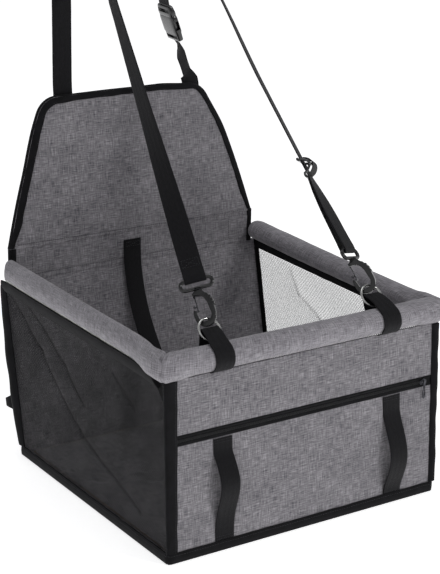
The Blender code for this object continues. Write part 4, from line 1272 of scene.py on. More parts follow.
@dataclass
class Bindings(Assembly):
    """Grosgrain folded over the box's edges: round the floor, up the corners and along the nets' tops."""

    low: float = 0.0006
    high: float = 0.0132
    top_out: tuple[tuple[float, float], ...] = (
        (0.1836, 0.2200),
        (0.1880, 0.2190),
        (0.1938, 0.2226),
        (0.1968, 0.2236),
        (0.1972, 0.2196),
        (0.1944, 0.2130),
        (0.1914, 0.2084),
        (0.1892, 0.2058),
        (0.1860, 0.2058),
        (0.1846, 0.2084),
        (0.1832, 0.2140),
    )
    top_in: tuple[tuple[float, float], ...] = (
        (0.1900, 0.2160),
        (0.1902, 0.2110),
        (0.1890, 0.2062),
        (0.1884, 0.2050),
        (0.1862, 0.2034),
        (0.1852, 0.2036),
        (0.1842, 0.2062),
        (0.1832, 0.2110),
        (0.1826, 0.2150),
        (0.1850, 0.2170),
        (0.1880, 0.2172),
    )
    corner_widths: dict[tuple[int, int], tuple[float, float, float, float]] = field(
        default_factory=lambda: {
            (-1, -1): (0.0128, 0.0162, 0.0046, 0.0052),
            (1, -1): (0.0082, 0.0086, 0.0110, 0.0110),
            (-1, 1): (0.0130, 0.0130, 0.0120, 0.0130),
            (1, 1): (0.0130, 0.0130, 0.0130, 0.0130),
        }
    )
    step: float = 0.0030
    seams: list[list[Vector]] = field(default_factory=list)

    def build(self) -> None:
        """Makes the seven bindings and the stitches along them."""
        self.bottom()
        for end, sy in (("front", -1), ("rear", 1)):
            for side, sx in (("left", -1), ("right", 1)):
                self.corner(f"{end}_{side}_binding", sx, sy)
        for side, sign in (("left", -1), ("right", 1)):
            self.top(side, sign)
        self.repeat.lay(
            "stitches_box_binding", self.seams, BLACK_THREAD, Body.BASKET, TAPE_PITCH, TAPE_STITCH
        )

    def bottom(self) -> None:
        """Makes the binding round the floor's edge, with cut corners."""
        plan = self.plan
        x = plan.side_x + plan.gap + plan.bind_t
        y0 = plan.front_low_y - plan.gap - plan.bind_t
        y1 = plan.back_low_y + plan.gap + 0.0030 + plan.bind_t
        nip = 0.0045
        corners = [(-x, y0), (x, y0), (x, y1), (-x, y1)]
        path: list[tuple[Vector, Vector]] = []
        for i, (cx, cy) in enumerate(corners):
            nx, ny = corners[(i + 1) % 4]
            here, there = Vector((cx, cy, 0)), Vector((nx, ny, 0))
            way = (there - here).normalized()
            out = Vector((way.y, -way.x, 0))
            run = (there - here).length
            back = Vector((corners[i - 1][0], corners[i - 1][1], 0))
            turn_in = (here - back).normalized()
            mid = here + (way - turn_in) * (nip * 0.42)
            path.append((mid, (out + Vector((turn_in.y, -turn_in.x, 0))).normalized()))
            for s in spread(nip, run - nip, self.step):
                path.append((here + way * s, out))
        rings = []
        seam = []
        for point, out in path:
            edge = 0.0005 * ripple(point, 0.018, 50)
            puff = 0.0004 * (1 + ripple(point, 0.012, 51))
            t = plan.bind_t
            section = (
                (-t, self.low + 0.0002),
                (-t * 0.4, self.low),
                (0.0, self.low + 0.0012),
                (puff, (self.low + self.high) / 2),
                (puff * 0.4, self.high - 0.0030 + edge),
                (-0.0001, self.high - 0.0012 + edge),
                (-0.0005, self.high + edge),
                (-t, self.high + edge),
            )
            rings.append([point + out * a + Vector((0, 0, z)) for a, z in section])
            seam.append(point + out * (puff * 0.5 + 0.0001) + Vector((0, 0, self.high - 0.0028 + edge)))
        skin = Skin()
        skin.grid(rings, wrap=True, loop=True)
        dressed(skin, "tape_bottom_binding", "bottom_binding", BINDING, Body.BASKET)
        self.seams.append(seam + seam[:1])

    @staticmethod
    def fullness(sx: int, sy: int, z: float, share: float) -> float:
        """How far a corner binding stands out from its walls. Two of the four are full, two lie flat."""
        if sx > 0 > sy:
            return 0.0016 + 0.0010 * ripple((0, 0, z), 0.020, 78)
        if sx < 0 < sy:
            return 0.0026 * (1 + 0.3 * ripple((0, 0, z), 0.030, 77)) * sin(pi * share) ** 0.5 * 1.7
        return 0.0

    def corner(self, node: str, sx: int, sy: int) -> None:
        """Makes one upright corner binding, folded round the meeting edges of two walls."""
        plan = self.plan
        wall = plan.front_y if sy < 0 else plan.back_y
        t, gap = plan.bind_t, plan.gap
        face_low, face_top, flank_low, flank_top = self.corner_widths[(sx, sy)]
        rings, seams = [], ([], [])
        for z in spread(self.high + gap, plan.wall_top, self.step):
            share = z / plan.wall_top
            w = face_low + (face_top - face_low) * share
            flank = flank_low + (flank_top - flank_low) * share
            wave = [0.0007 * ripple((0, 0, z), 0.016, 60 + sx + 2 * sy + k) for k in (0, 7)]
            puff = 0.00035 * (1 + ripple((0, 0, z), 0.011, 70 + sx + 2 * sy))
            fat = self.fullness(sx, sy, z, share)
            ox, oy = plan.side_x + gap + t, gap + t
            section = [
                (ox - w + wave[0], oy - 0.0006),
                (ox - w + wave[0] + 0.0006, oy),
                (ox - w * 0.55, oy + puff + fat * 0.7),
                (ox - 0.0022, oy + puff * 0.5 + fat),
                (ox - 0.0006 + fat * 0.6, oy - 0.0004 + fat),
                (ox - 0.0003 + fat * 0.8, oy - 0.0008 + fat * 0.8),
                (ox + puff * 0.5 + fat, oy - 0.0024),
                (ox + puff + fat * 0.7, oy - flank * 0.55),
                (ox, oy - flank + wave[1] + 0.0006),
                (ox - 0.0006, oy - flank + wave[1]),
                (plan.side_x + gap, oy - flank + wave[1] + 0.0002),
                (plan.side_x + gap, gap),
                (ox - w + wave[0] + 0.0002, gap),
            ]
            rings.append([Vector((sx * px, wall(z) + sy * py, z)) for px, py in section])
            seams[0].append(
                Vector((sx * (ox - w + 0.0028 + wave[0]), wall(z) + sy * (oy + 0.0001 + puff * 0.4), z))
            )
            seams[1].append(
                Vector((sx * (ox + 0.0001 + puff * 0.4), wall(z) + sy * (oy - flank + 0.0028 + wave[1]), z))
            )
        skin = Skin()
        skin.tube(rings)
        dressed(skin, f"tape_{node}", node, BINDING, Body.BASKET)
        self.seams.extend(seams)

    def top(self, side: str, sign: int) -> None:
        """Makes the strip folded over one net's top edge and sewn up to its sleeve."""
        plan = self.plan
        section = self.top_out if sign < 0 else self.top_in
        middle = Vector((sum(a for a, _ in section), sum(b for _, b in section))) / len(section)
        rings, seam = [], []
        for y in spread(plan.front_top_y + plan.bind_w, plan.back_top_y - plan.bind_w - 0.002, self.step):
            drop = -0.0018 * (1 - ease(-0.166, -0.145, y)) if sign < 0 else 0.0
            ring = []
            for px, z in section:
                puff = 1 + 0.05 * ripple((px, y, z), 0.014, 80 + sign)
                x, up = middle.x + (px - middle.x) * puff, middle.y + (z - middle.y) * puff
                ring.append(Vector((sign * x, y, up + drop + 0.0004 * ripple((0, y, 0), 0.02, 83))))
            rings.append(ring)
            x, z = section[6] if sign < 0 else section[2]
            seam.append(Vector((sign * (x + 0.0003), y, z + 0.0004 + drop)))
        skin = Skin()
        skin.tube(rings)
        node = f"{side}_top_binding"
        dressed(skin, f"tape_{node}", node, BINDING, Body.BASKET)
        self.seams.append(seam)


@dataclass
class Zip(Assembly):
    """The pocket's coil zip: two tapes, the coil between them, the slider and its pull."""

    slider: tuple[float, float, float] = (0.0100, 0.0024, 0.0084)
    pull: tuple[float, float, float] = (0.0044, 0.0012, 0.0230)
    step: float = 0.0030

    def build(self) -> None:
        """Makes the tape, the coil, the slider and the pull."""
        plan = self.plan
        low, top = plan.zip_low + plan.gap, plan.zip_top
        middle = (low + top) / 2
        levels = (
            (low, 0.0000),
            (low + 0.0012, -0.0004),
            (low + 0.0034, 0.0000),
            (middle - 0.0016, 0.0003),
            (middle, 0.0005),
            (middle + 0.0016, 0.0003),
            (top - 0.0034, 0.0000),
            (top - 0.0012, -0.0005),
            (top, 0.0000),
        )
        xs = spread(-plan.half_x, plan.half_x, self.step)
        outer = []
        for z, depth in levels:
            rise = 0.0003 if depth < 0 else 0.0
            outer.append(
                [
                    Vector((x, plan.front_y(z) + depth - rise * (1 + ripple((x, 0, z), 0.02, 90)), z))
                    for x in xs
                ]
            )
        inner = [[Vector((x, plan.front_y(z) + plan.panel, z)) for x in xs] for z, _ in levels]
        skin = Skin()
        skin.sheet(outer, inner, flat=lambda p: (p.z, p.x))
        dressed(skin, "tape_zip", "zipper_tape", ZIP_TAPE, Body.BASKET)
        paths = []
        for shift in (-0.00085, 0.00085):
            z = middle + shift
            ends = (-plan.half_x + plan.bind_w, plan.half_x - plan.bind_w)
            paths.append([Vector((x + shift * 0.75, plan.front_y(z) - 0.0001, z)) for x in ends])
        self.repeat.lay(
            "zip_coil", paths, COIL, Body.BASKET, 0.0014, (0.0013, 0.0005, 0.00045), (0, 0, 1), wander=0.0
        )
        self.fittings()

    def fittings(self) -> None:
        """Makes the slider, with its bridge, and the pull that hangs from it."""
        plan = self.plan
        z = (plan.zip_low + plan.zip_top) / 2
        wide, deep, high = self.slider
        x = plan.side_x - plan.bind_w - wide / 2 - 2 * plan.gap
        y = plan.front_y(z) - 2 * plan.gap
        outline = []
        for step in range(24):
            turn = 2 * pi * step / 24
            taper = 1.0 if cos(turn) > 0 else 0.82
            outline.append((cos(turn), sin(turn) * taper))
        skin = Skin()
        for scale, start, end in ((1.0, 0.0, 0.42), (0.78, 0.40, 0.72)):
            skin.tube(
                self.pad(
                    outline, Vector((x, y, z)), (wide / 2 * scale, high / 2 * scale), deep * start, deep * end
                )
            )
        bridge = [(-0.34, 0.62), (-0.26, 0.92), (-0.1, 1.0), (0.1, 1.0), (0.26, 0.92), (0.34, 0.62)]
        rings = []
        for share, depth in bridge:
            centre = Vector((x + share * wide, y - deep * depth, z + 0.0006))
            rings.append(
                [centre + Vector((0, sin(a) * 0.00035, cos(a) * 0.0011)) for a in circle(10)]
            )
        skin.tube(rings)
        dress(
            new_object("zip_slider_body", skin.mesh("slider")), GUNMETAL, Body.ZIP_SLIDER, ["zipper_slider"]
        )
        self.hang_pull(x, y - deep - plan.gap, z + 0.0030)

    def pad(
        self,
        outline: Sequence[tuple[float, float]],
        centre: Vector,
        half: tuple[float, float],
        start: float,
        end: float,
    ) -> list[list[Vector]]:
        """Rings of a flat pad with rounded rims, from one depth in front of the wall to another."""
        rings = []
        for share, shrink in ((0.0, 0.9), (0.18, 1.0), (0.82, 1.0), (1.0, 0.88)):
            depth = start + (end - start) * share
            rings.append(
                [centre + Vector((a * half[0] * shrink, -depth, b * half[1] * shrink)) for a, b in outline]
            )
        return rings

    def hang_pull(self, x: float, y: float, top: float) -> None:
        """Makes the pull: a flat drop with a long hole, on a small neck."""
        wide, deep, high = self.pull
        outer, inner = [], []
        for step in range(32):
            turn = 2 * pi * step / 32
            fat = 1.0 if sin(turn) < 0 else 0.72
            edge = (squared(cos(turn), 0.7), squared(sin(turn), 0.7))
            outer.append(Vector((x + edge[0] * wide / 2 * fat, 0, top - high / 2 + edge[1] * high / 2)))
            inner.append(
                Vector((x + edge[0] * wide * 0.24 * fat, 0, top - high * 0.56 + edge[1] * high * 0.27))
            )
        rings = []
        for points, depth in ((outer, 0.2), (outer, 0.8), (inner, 1.0), (inner, 0.0)):
            rings.append([point + Vector((0, y - deep * depth, 0)) for point in points])
        skin = Skin()
        skin.grid(rings, wrap=True, loop=True)
        dress(new_object("zip_pull_tab", skin.mesh("pull", 40)), GUNMETAL, Body.ZIP_PULL, ["zipper_pull"])


@dataclass
class Flap(Assembly):
    """The back flap: two cloth covers over a board, bound round the edge and hinged on a cloth strip."""

    fold_y: float = 0.1925
    fold_z: float = 0.2560
    lean: float = radians(6.2)
    base_half: float = 0.180
    top_half: float = 0.1165
    height: float = 0.1815
    corner_r: float = 0.028
    start: float = 0.0008
    cover: float = 0.0015
    board: float = 0.0020
    bind_w: float = 0.0130
    bind_t: float = 0.0010
    step: float = 0.0042
    bow: tuple[float, float] = (0.0045, 0.0036)

    @property
    def slope(self) -> float:
        """Lean of the flap's side edges from its middle line."""
        return atan2(self.base_half - self.top_half, self.height)

    def point(self, x: float, v: float, f: float) -> Vector:
        """A place on the flap: across, up its plane from the fold, and out of its front."""
        up = Vector((0, sin(self.lean), cos(self.lean)))
        out = Vector((0, -cos(self.lean), sin(self.lean)))
        return Vector((x, self.fold_y, self.fold_z)) + up * v + out * f

    def cloth_point(self, x: float, v: float, f: float) -> Vector:
        """A place on the cloth of the flap, whose sides bow out and whose top sags to the right."""
        share = min(max(v / self.height, 0.0), 1.0)
        bow = self.bow[0 if x < 0 else 1] * sin(pi * share)
        bow += 0.0044 * ease(0.45, 0.85, share) if x < 0 else -0.0062 * ease(0.62, 0.96, share)
        sag = 0.0008 * ease(-0.04, 0.03, x) + 0.0034 * ease(0.05, 0.10, x)
        wide = 1 + bow / self.half_width(v, 0.0)
        return self.point(x * wide, v - sag * max(v / self.height, 0.0) ** 3, f)

    def half_width(self, v: float, inset: float) -> float:
        """Half the width of the flap at a height up its plane, drawn in by an inset."""
        slope, radius = self.slope, self.corner_r - inset
        corner_x = self.top_half - self.corner_r * (1 - sin(slope)) / cos(slope)
        corner_v = self.height - self.corner_r
        if v <= corner_v + radius * sin(slope):
            return self.base_half - inset / cos(slope) - v * (self.base_half - self.top_half) / self.height
        rise = min(v - corner_v, radius)
        return corner_x + sqrt(max(radius * radius - rise * rise, 0.0))

    def edge(self, inset: float) -> list[tuple[float, float]]:
        """The free edge from the right of the base, over the top, to the left, drawn in by an inset."""
        slope, radius = self.slope, self.corner_r - inset
        corner_x = self.top_half - self.corner_r * (1 - sin(slope)) / cos(slope)
        corner_v = self.height - self.corner_r
        foot = (self.base_half - inset / cos(slope) - self.start * sin(slope), self.start)
        arc = []
        for step in range(11):
            turn = slope + (pi / 2 - slope) * step / 10
            arc.append((corner_x + radius * cos(turn), corner_v + radius * sin(turn)))
        side = [tuple(a + (b - a) * k / 44 for a, b in zip(foot, arc[0])) for k in range(44)]
        over = [(corner_x * (1 - k / 24), self.height - inset) for k in range(1, 25)]
        right = side + arc + over
        return right + [(-x, v) for x, v in right[-2::-1]]

    def build(self) -> None:
        """Makes the covers, the binding, the fold strip and the stitches."""
        gap = self.plan.gap
        inset = self.bind_t + gap
        rear = 0.0002
        front = rear + self.cover + gap + self.board + gap
        self.cover_sheet("flap_rear_cover", inset, rear + self.cover, rear, -0.0009, 3)
        self.cover_sheet("flap_front_cover", inset, front, front + self.cover, 0.0016, 4)
        self.binding(rear - gap, front + self.cover + gap)
        self.fold_strip()

    def cover_sheet(self, node: str, inset: float, under: float, face: float, puff: float, seed: int) -> None:
        """Makes one cover, whose outer face swells between the binding and the seams.

        Args:
            node: CAD node that it replaces.
            inset: Distance inside the flap's edge.
            under: Level of its hidden face.
            face: Level of its outer face at the edge.
            puff: How far it swells, against the direction out of the front where it is negative.
            seed: Number of its random pattern.
        """
        top = self.height - inset
        levels = [-0.0016, -0.0008] + spread(0.0002, top - 0.020, self.step)
        levels += [top - 0.020 * (1 - sin(pi / 2 * k / 9)) for k in range(1, 10)]
        shares = [k / 44 - 1 for k in range(89)]

        def level(x: float, v: float) -> float:
            half = self.half_width(v, inset)
            rim = min((half - abs(x)) * cos(self.slope), top - v)
            soft = ease(0.004, 0.030, rim) * ease(0.004, 0.026, v)
            cloud = 0.55 + 0.45 * ripple((x, v, 0), 0.055, seed)
            groove = exp(-(((v - self.seam_v(x)) / 0.0018) ** 2))
            pucker = 0.35 * ripple((x * 3.0, v, 0), 0.012, seed + 2) * exp(-(v**2) / 0.00010)
            corner = exp(-sqrt((abs(x) - half) ** 2 + v * v) / 0.020)
            gather = 0.55 * corner * sin((abs(x) * 1.4 + v) / 0.0016 / 2.6)
            lip = ease(-0.002, 0.003, v)
            rise = soft * cloud - 0.75 * groove + 0.55 * pucker + gather * 0.5 + 0.4 * (1 - groove)
            return puff * lip * rise

        outer, inner = [], []
        for v in levels:
            half = self.half_width(v, inset)
            tuck = 0.0005 * (1 - ease(-0.0008, 0.001, v)) * (1 if puff > 0 else -1)
            outer.append([self.cloth_point(half * s, v, face + level(half * s, v)) for s in shares])
            inner.append([self.cloth_point(half * s, v, under + tuck) for s in shares])
        skin = Skin()
        skin.sheet(outer, inner, flat=lambda p: (p.x, p.z))
        dressed(skin, f"cloth_{node}", node, OXFORD, Body.FLAP)

    def seam_v(self, x: float) -> float:
        """Height of the seam along the fold, which runs down to the right."""
        return 0.0006 + 0.0034 * ease(0.10, -0.17, x) if x < 0.10 else 0.0006

    def binding(self, low: float, high: float) -> None:
        """Makes the tape round the free edge, between the levels of the covers' outer faces."""
        t, w = self.bind_t, self.bind_w
        mid = (low + high) / 2
        contour = (
            (w, low - 0.0002, 0.0),
            (w - 0.0007, low - t, 0.2),
            (w * 0.55, low - t - 0.0005, 1.0),
            (0.0030, low - t, 0.6),
            (0.0010, low - t + 0.0010, 0.3),
            (0.0, low - t + 0.0026, 0.1),
            (0.0, high + t - 0.0026, 0.1),
            (0.0010, high + t - 0.0010, 0.3),
            (0.0030, high + t, 0.6),
            (w * 0.55, high + t + 0.0016, 1.0),
            (w - 0.0007, high + t + 0.0008, 0.2),
            (w, high + 0.0006, 0.0),
            (w * 0.5, high, 0.0),
            (t, high, 0.0),
            (t, low, 0.0),
            (w * 0.5, low, 0.0),
        )
        paths = {inset: self.edge(inset) for inset, _, _ in contour}
        seam_edge = self.edge(w - 0.0026)
        rings, seams = [], ([], [])
        count = len(paths[0.0])
        for i in range(count):
            rim = paths[0.0][i]
            near = Vector((*rim, 0))
            wave = 0.0007 * ripple(near, 0.016, 100)
            puff = 0.0005 * ripple(near, 0.010, 101)
            ring = []
            for inset, f, soft in contour:
                x, v = paths[inset][i]
                side = 1 if f > mid else -1
                if side > 0 and inset > 0.0025:
                    share = self.front_share(*rim)
                    x = rim[0] + (x - rim[0]) * share
                    v = rim[1] + (v - rim[1]) * share
                inward = Vector((paths[w][i][0] - rim[0], paths[w][i][1] - rim[1])).normalized()
                slide = wave if inset > w * 0.9 else 0.0
                ring.append(
                    self.cloth_point(x + inward.x * slide, v + inward.y * slide, f + side * soft * puff)
                )
            rings.append(ring)
            x, v = seam_edge[i]
            share = self.front_share(*rim)
            near_x = rim[0] + (x - rim[0]) * share
            near_v = rim[1] + (v - rim[1]) * share
            seams[0].append(self.cloth_point(near_x, near_v, high + t + 0.0009))
            seams[1].append(self.cloth_point(x, v, low - t - 0.0003))
        skin = Skin()
        skin.tube(rings)
        dressed(skin, "tape_flap_binding", "flap_binding", BINDING, Body.FLAP)
        self.repeat.lay("stitches_flap_binding", seams, BLACK_THREAD, Body.FLAP, TAPE_PITCH, TAPE_STITCH)
        level = high + self.plan.gap
        edge = self.half_width(0.0, self.bind_w)
        lines = [[self.cloth_point(x, self.seam_v(x), level + 0.0006) for x in spread(-edge, edge, 0.01)]]
        self.repeat.lay("stitches_flap_fold", lines, BLACK_THREAD, Body.FLAP, SEAM_PITCH, BOLD_STITCH)

    def front_share(self, x: float, v: float) -> float:
        """How much of the tape shows on the flap's front: most on the left, half at the foot and right."""
        up = v / self.height
        left = 0.34 * ease(-0.06, -0.125, x) * ease(0.0, 0.18, up)
        right = 0.22 * ease(0.10, 0.125, x) * ease(0.0, 0.15, up)
        top = 0.14 * ease(0.85, 1.0, up) * ease(-0.125, -0.06, x) * ease(0.125, 0.10, x)
        return 0.50 + left + right + top

    def fold_strip(self) -> None:
        """Makes the flat front of the rear channel, its seams and the tape on its two ends."""
        half, y0, y1 = 0.1795, 0.1880, 0.1895
        z0, z1 = 0.2130, self.fold_z - self.plan.gap

        def face(x: float, z: float) -> float:
            edge = min(z - z0, z1 - z, abs(abs(x) - 0.1465) + 0.002)
            puff = 0.0010 * ease(0.0, 0.011, edge) * (1 + 0.4 * ripple((x, 0, z), 0.03, 15))
            gather = 0.0007 * ease(0.145, 0.165, x) * sin(x / 0.0011 + z * 140)
            groove = 0.0009 * exp(-(((z - 0.2190) / 0.0016) ** 2))
            groove += 0.0008 * exp(-(((abs(x) - 0.1463) / 0.0018) ** 2)) * ease(0.217, 0.222, z)
            return min(y0 + 0.0003 - puff + groove + gather * ease(0.0, 0.008, z1 - z), y1 - 0.0002)

        xs = spread(-half, half, 0.0024)
        levels = spread(z0, z1, 0.0020)
        front = [[Vector((x, face(x, z), z)) for x in xs] for z in levels]
        rear = [[Vector((x, y1, z)) for x in xs] for z in levels]
        skin = Skin()
        skin.sheet(front, rear, flat=lambda p: (p.x, p.z))
        dressed(skin, "cloth_fold_strip", "fold_strip", OXFORD, Body.BASKET)
        out = 0.0002
        lines = [
            [Vector((x, face(x, z) - out, z)) for x in spread(-0.172, 0.174, 0.006) for z in [0.2190]],
            [Vector((-0.147, face(-0.147, z) - out, z)) for z in spread(0.2225, 0.2545, 0.004)],
            [Vector((0.1455, face(0.1455, z) - out, z)) for z in spread(0.2215, 0.2500, 0.004)],
            [Vector((x, face(x, 0.2500) - out, 0.2500)) for x in spread(0.1455, 0.1740, 0.003)],
        ]
        self.repeat.lay(
            "stitches_rear_channel", lines, BLACK_THREAD, Body.BASKET, SEAM_PITCH, BOLD_STITCH, (0, 1, 0)
        )
        for sign, side in ((-1, "left"), (1, "right")):
            rings = []
            for z in spread(z0, self.fold_z + 0.0005, 0.003):
                puff = 0.0004 * ripple((sign, 0, z), 0.012, 17)
                inner, outer = (0.1698, 0.1806) if sign < 0 else (0.1738, 0.1812)
                wide = outer - inner
                section = (
                    (inner, 0.1874),
                    (inner + wide * 0.08, 0.1862),
                    (inner + wide * 0.50, 0.1856 - puff),
                    (inner + wide * 0.83, 0.1862),
                    (outer - 0.0005, 0.1874),
                    (outer, 0.1888),
                    (outer - 0.0010, 0.1903),
                    (inner + wide * 0.50, 0.1906),
                    (inner + 0.0004, 0.1899),
                )
                rings.append([Vector((sign * px, py, z)) for px, py in section])
            tape = Skin()
            tape.tube(rings)
            dress(new_object(f"tape_channel_{side}", tape.mesh(f"channel_{side}")), BINDING, Body.BASKET)


@dataclass
class FrontStrap(Assembly):
    """The strap over the front headrest, with its rim loops, rings, snap hooks and adjuster."""

    strap_x: float = 0.115
    rise: tuple[float, float, float] = (0.0989, 0.6646, 0.7408)
    turn_left: tuple[tuple[float, float], ...] = ((0.0, 27), (0.105, 27), (0.20, 58), (0.30, 82), (0.44, 98))
    turn_right: tuple[tuple[float, float], ...] = (
        (0.0, 27),
        (0.147, 27),
        (0.172, 34),
        (0.19, 44),
        (0.34, 44),
        (0.44, 47),
    )
    turn_top: tuple[float, float] = (98, 50)
    mid_x: float = -0.0035
    end_s: float = 0.452
    ply_meet: float = 0.014
    sewn_s: float = 0.026
    ring_r: float = 0.0132
    ring_wire: float = 0.0014
    ring_s: float = 0.0327
    apex_s: float = 0.0344
    pinch: float = 0.12
    eye_s: float = 0.0880
    eye_half_h: float = 0.0053
    adjuster_s: float = 0.205
    adjuster_half_h: float = 0.0115
    bow: float = 0.0046
    bow_from: float = 0.322
    adjuster_half_w: float = 0.0146
    adjuster_arch: float = 0.0056
    adjuster_wire: float = 0.0016

    def line(self, side: int) -> tuple[Vector, Vector, Vector, Vector]:
        """Origin on the rim, and unit directions along the strap, inward, and out of its rear."""
        rise_in, rise_back, rise_up = self.rise
        along = Vector((-side * rise_in, rise_back, rise_up)).normalized()
        inward = Vector((-side, 0, 0))
        inward = (inward - along * inward.dot(along)).normalized()
        rear = Vector((0, along.z, -along.y)).normalized()
        origin = Vector((self.mid_x + side * self.strap_x, self.plan.rim_front_y, self.plan.rim_z))
        return origin, along, inward, rear

    def across(self, side: int, s: float) -> Vector:
        """Direction across the strap at a distance along one strand."""
        _, _, inward, rear = self.line(side)
        table = self.turn_left if side < 0 else self.turn_right
        degrees = table[-1][1]
        if s <= table[0][0]:
            degrees = table[0][1]
        else:
            for (s0, a0), (s1, a1) in zip(table, table[1:]):
                if s <= s1:
                    degrees = a0 + (a1 - a0) * (s - s0) / (s1 - s0)
                    break
        turn = -radians(degrees)
        return inward * cos(turn) + rear * sin(turn)

    def lift(self, side: int, s: float) -> float:
        """Distance of a ply from the strap's line. The right plies close up from the eye to the adjuster."""
        if side < 0:
            return self.plan.ply_lift
        low, high = self.eye_s + self.eye_half_h, self.adjuster_s - self.adjuster_half_h
        share = min(max((s - low) / (high - low), 0.0), 1.0)
        return self.plan.fold_radius + (self.plan.ply_lift - self.plan.fold_radius) * share

    def strand(self, side: int, distances: Iterable[float], up: bool) -> list[Station]:
        """Stations of one ply of the strap."""
        origin, along, _, _ = self.line(side)
        stations = []
        for s in distances:
            across = self.across(side, s)
            out = across.cross(along if up else -along)
            bow = self.bow * ease(self.bow_from, self.end_s, s) if side > 0 else 0.0
            centre = origin + along * s + out * self.lift(side, s) + Vector((bow, 0, 0))
            stations.append(Station(centre, across, out))
        return stations

    def fold(self, side: int, bar_s: float) -> list[Station]:
        """Stations where the webbing turns round the bar of a hook's eye."""
        origin, along, _, _ = self.line(side)
        across = self.across(side, bar_s)
        return half_turn(origin + along * bar_s, across, -along, self.plan.fold_radius)

    def headrest_turn(self) -> list[Station]:
        """Stations of the half turn that joins the two strands."""
        origin, along, inward, rear = self.line(-1)
        start = origin + along * self.end_s
        radius = (self.mid_x - start.x) / inward.x
        centre = start + inward * radius
        lean = atan2(along.x, sqrt(along.y**2 + along.z**2))
        sweep = pi - 2 * lean
        stations = []
        for step in range(1, 24):
            phi = sweep * step / 24
            travel = inward * sin(phi) + along * cos(phi)
            to_centre = inward * cos(phi) - along * sin(phi)
            turn = -radians(self.turn_top[0] + (self.turn_top[1] - self.turn_top[0]) * step / 24)
            across = to_centre * cos(turn) + rear * sin(turn)
            out = across.cross(travel)
            shift = Vector((self.bow * ease(12, 24, step), 0, 0))
            stations.append(
                Station(centre - to_centre * radius + out * self.plan.ply_lift + shift, across, out)
            )
        return stations

    def build(self) -> None:
        """Makes the strap and everything that hangs it on the rim."""
        bar_s = self.eye_s + self.eye_half_h
        meet = bar_s + self.ply_meet
        stations = self.strand(-1, (bar_s + self.sewn_s, meet), up=False)
        stations += self.fold(-1, bar_s)
        stations += self.strand(-1, spread(meet, self.end_s, 0.017), up=True)
        stations += self.headrest_turn()
        stations += self.strand(1, spread(self.end_s, meet, 0.017), up=False)
        stations += self.fold(1, bar_s)
        end = self.adjuster_s - self.adjuster_half_h - 2.5 * self.adjuster_wire
        stations += self.strand(1, spread(meet, end, 0.017), up=True)
        strap_piece("web_front_strap", smoothed(stations, 0.0035), Body.FRONT_STRAP, ["front_strap"], 5)
        self.sewing(bar_s)
        self.adjuster()
        self.rings()
        self.hooks()

    def sewing(self, bar_s: float) -> None:
        """Lays the stitches that hold the left strand's turned end."""
        origin, along, _, _ = self.line(-1)
        box = ((-0.0095, 0.0155), (0.0095, 0.0155), (0.0095, 0.0245), (-0.0095, 0.0245))
        order = (0, 1, 2, 3, 0, 2, 1, 3)
        paths = []
        for face in (-1, 1):
            points = []
            for index in order:
                u, v = box[index]
                across = self.across(-1, bar_s + v)
                out = across.cross(along)
                points.append(origin + along * (bar_s + v) + across * u + out * (face * 0.00155))
            paths.append(points)
        self.repeat.lay(
            "stitches_front_strap", paths, BLACK_THREAD, Body.FRONT_STRAP, SEAM_PITCH, FINE_STITCH
        )

    def adjuster(self) -> None:
        """Makes the three-bar slider and the tuck of webbing on its middle bar."""
        plan = self.plan
        origin, along, _, _ = self.line(1)
        across = self.across(1, self.adjuster_s)
        out = across.cross(-along)
        centre = origin + along * self.adjuster_s
        ply_front, ply_back = plan.ply_lift + plan.web_t / 2, plan.ply_lift - plan.web_t / 2
        mid_f = ply_front + 0.0006 + self.adjuster_wire + self.adjuster_arch
        end_f = ply_back - 0.0006 - self.adjuster_wire
        w, h, corner = self.adjuster_half_w, self.adjuster_half_h, 0.0035
        frame_points = []
        for end in (1, -1):
            for k in range(13):
                v = -h + corner + (2 * h - 2 * corner) * k / 12
                share = cos(pi / 2 * v / (h * 0.98)) ** 1.2 if abs(v) < h * 0.98 else 0.0
                frame_points.append((end * w, end * v, share))
            for k in range(1, 6):
                turn = pi / 2 * k / 5
                frame_points.append(
                    (
                        end * (w - corner + corner * cos(turn)),
                        end * (h - corner + corner * sin(turn)),
                        0.06 * (1 - k / 5),
                    )
                )
            for k in range(5):
                turn = pi / 2 * k / 5
                frame_points.append(
                    (
                        end * (-w + corner - corner * sin(turn)),
                        end * (h - corner + corner * cos(turn)),
                        0.06 * k / 5,
                    )
                )
        path = [
            centre + across * u + along * v + out * (end_f + (mid_f - end_f) * share)
            for u, v, share in frame_points
        ]
        skin = Skin()
        skin.grid(wire(path, self.adjuster_wire, 10, closed=True), wrap=True, loop=True)
        bar = [centre + across * (w * k / 6) + out * mid_f for k in range(-6, 7)]
        skin.tube(wire(bar, self.adjuster_wire * 0.96, 10))
        dress(new_object("strap_slider", skin.mesh("adjuster")), ENAMEL, Body.ADJUSTER, ["strap_adjuster"])
        crown = mid_f + self.adjuster_wire + plan.gap + plan.web_t / 2
        foot = ply_front + plan.gap + plan.web_t / 2
        stations = []
        for step in range(25):
            share = step / 24 * 2 - 1
            rise = foot + (crown - foot) * max(cos(share * pi / 2), 0.0) ** 0.6
            place = centre + along * (0.0105 * share) + out * (rise + 0.0002)
            stations.append(Station(place, across, out, 0.0236))
        strap_piece("web_adjuster_tuck", stations, Body.ADJUSTER, ["adjuster_tuck"], 9)

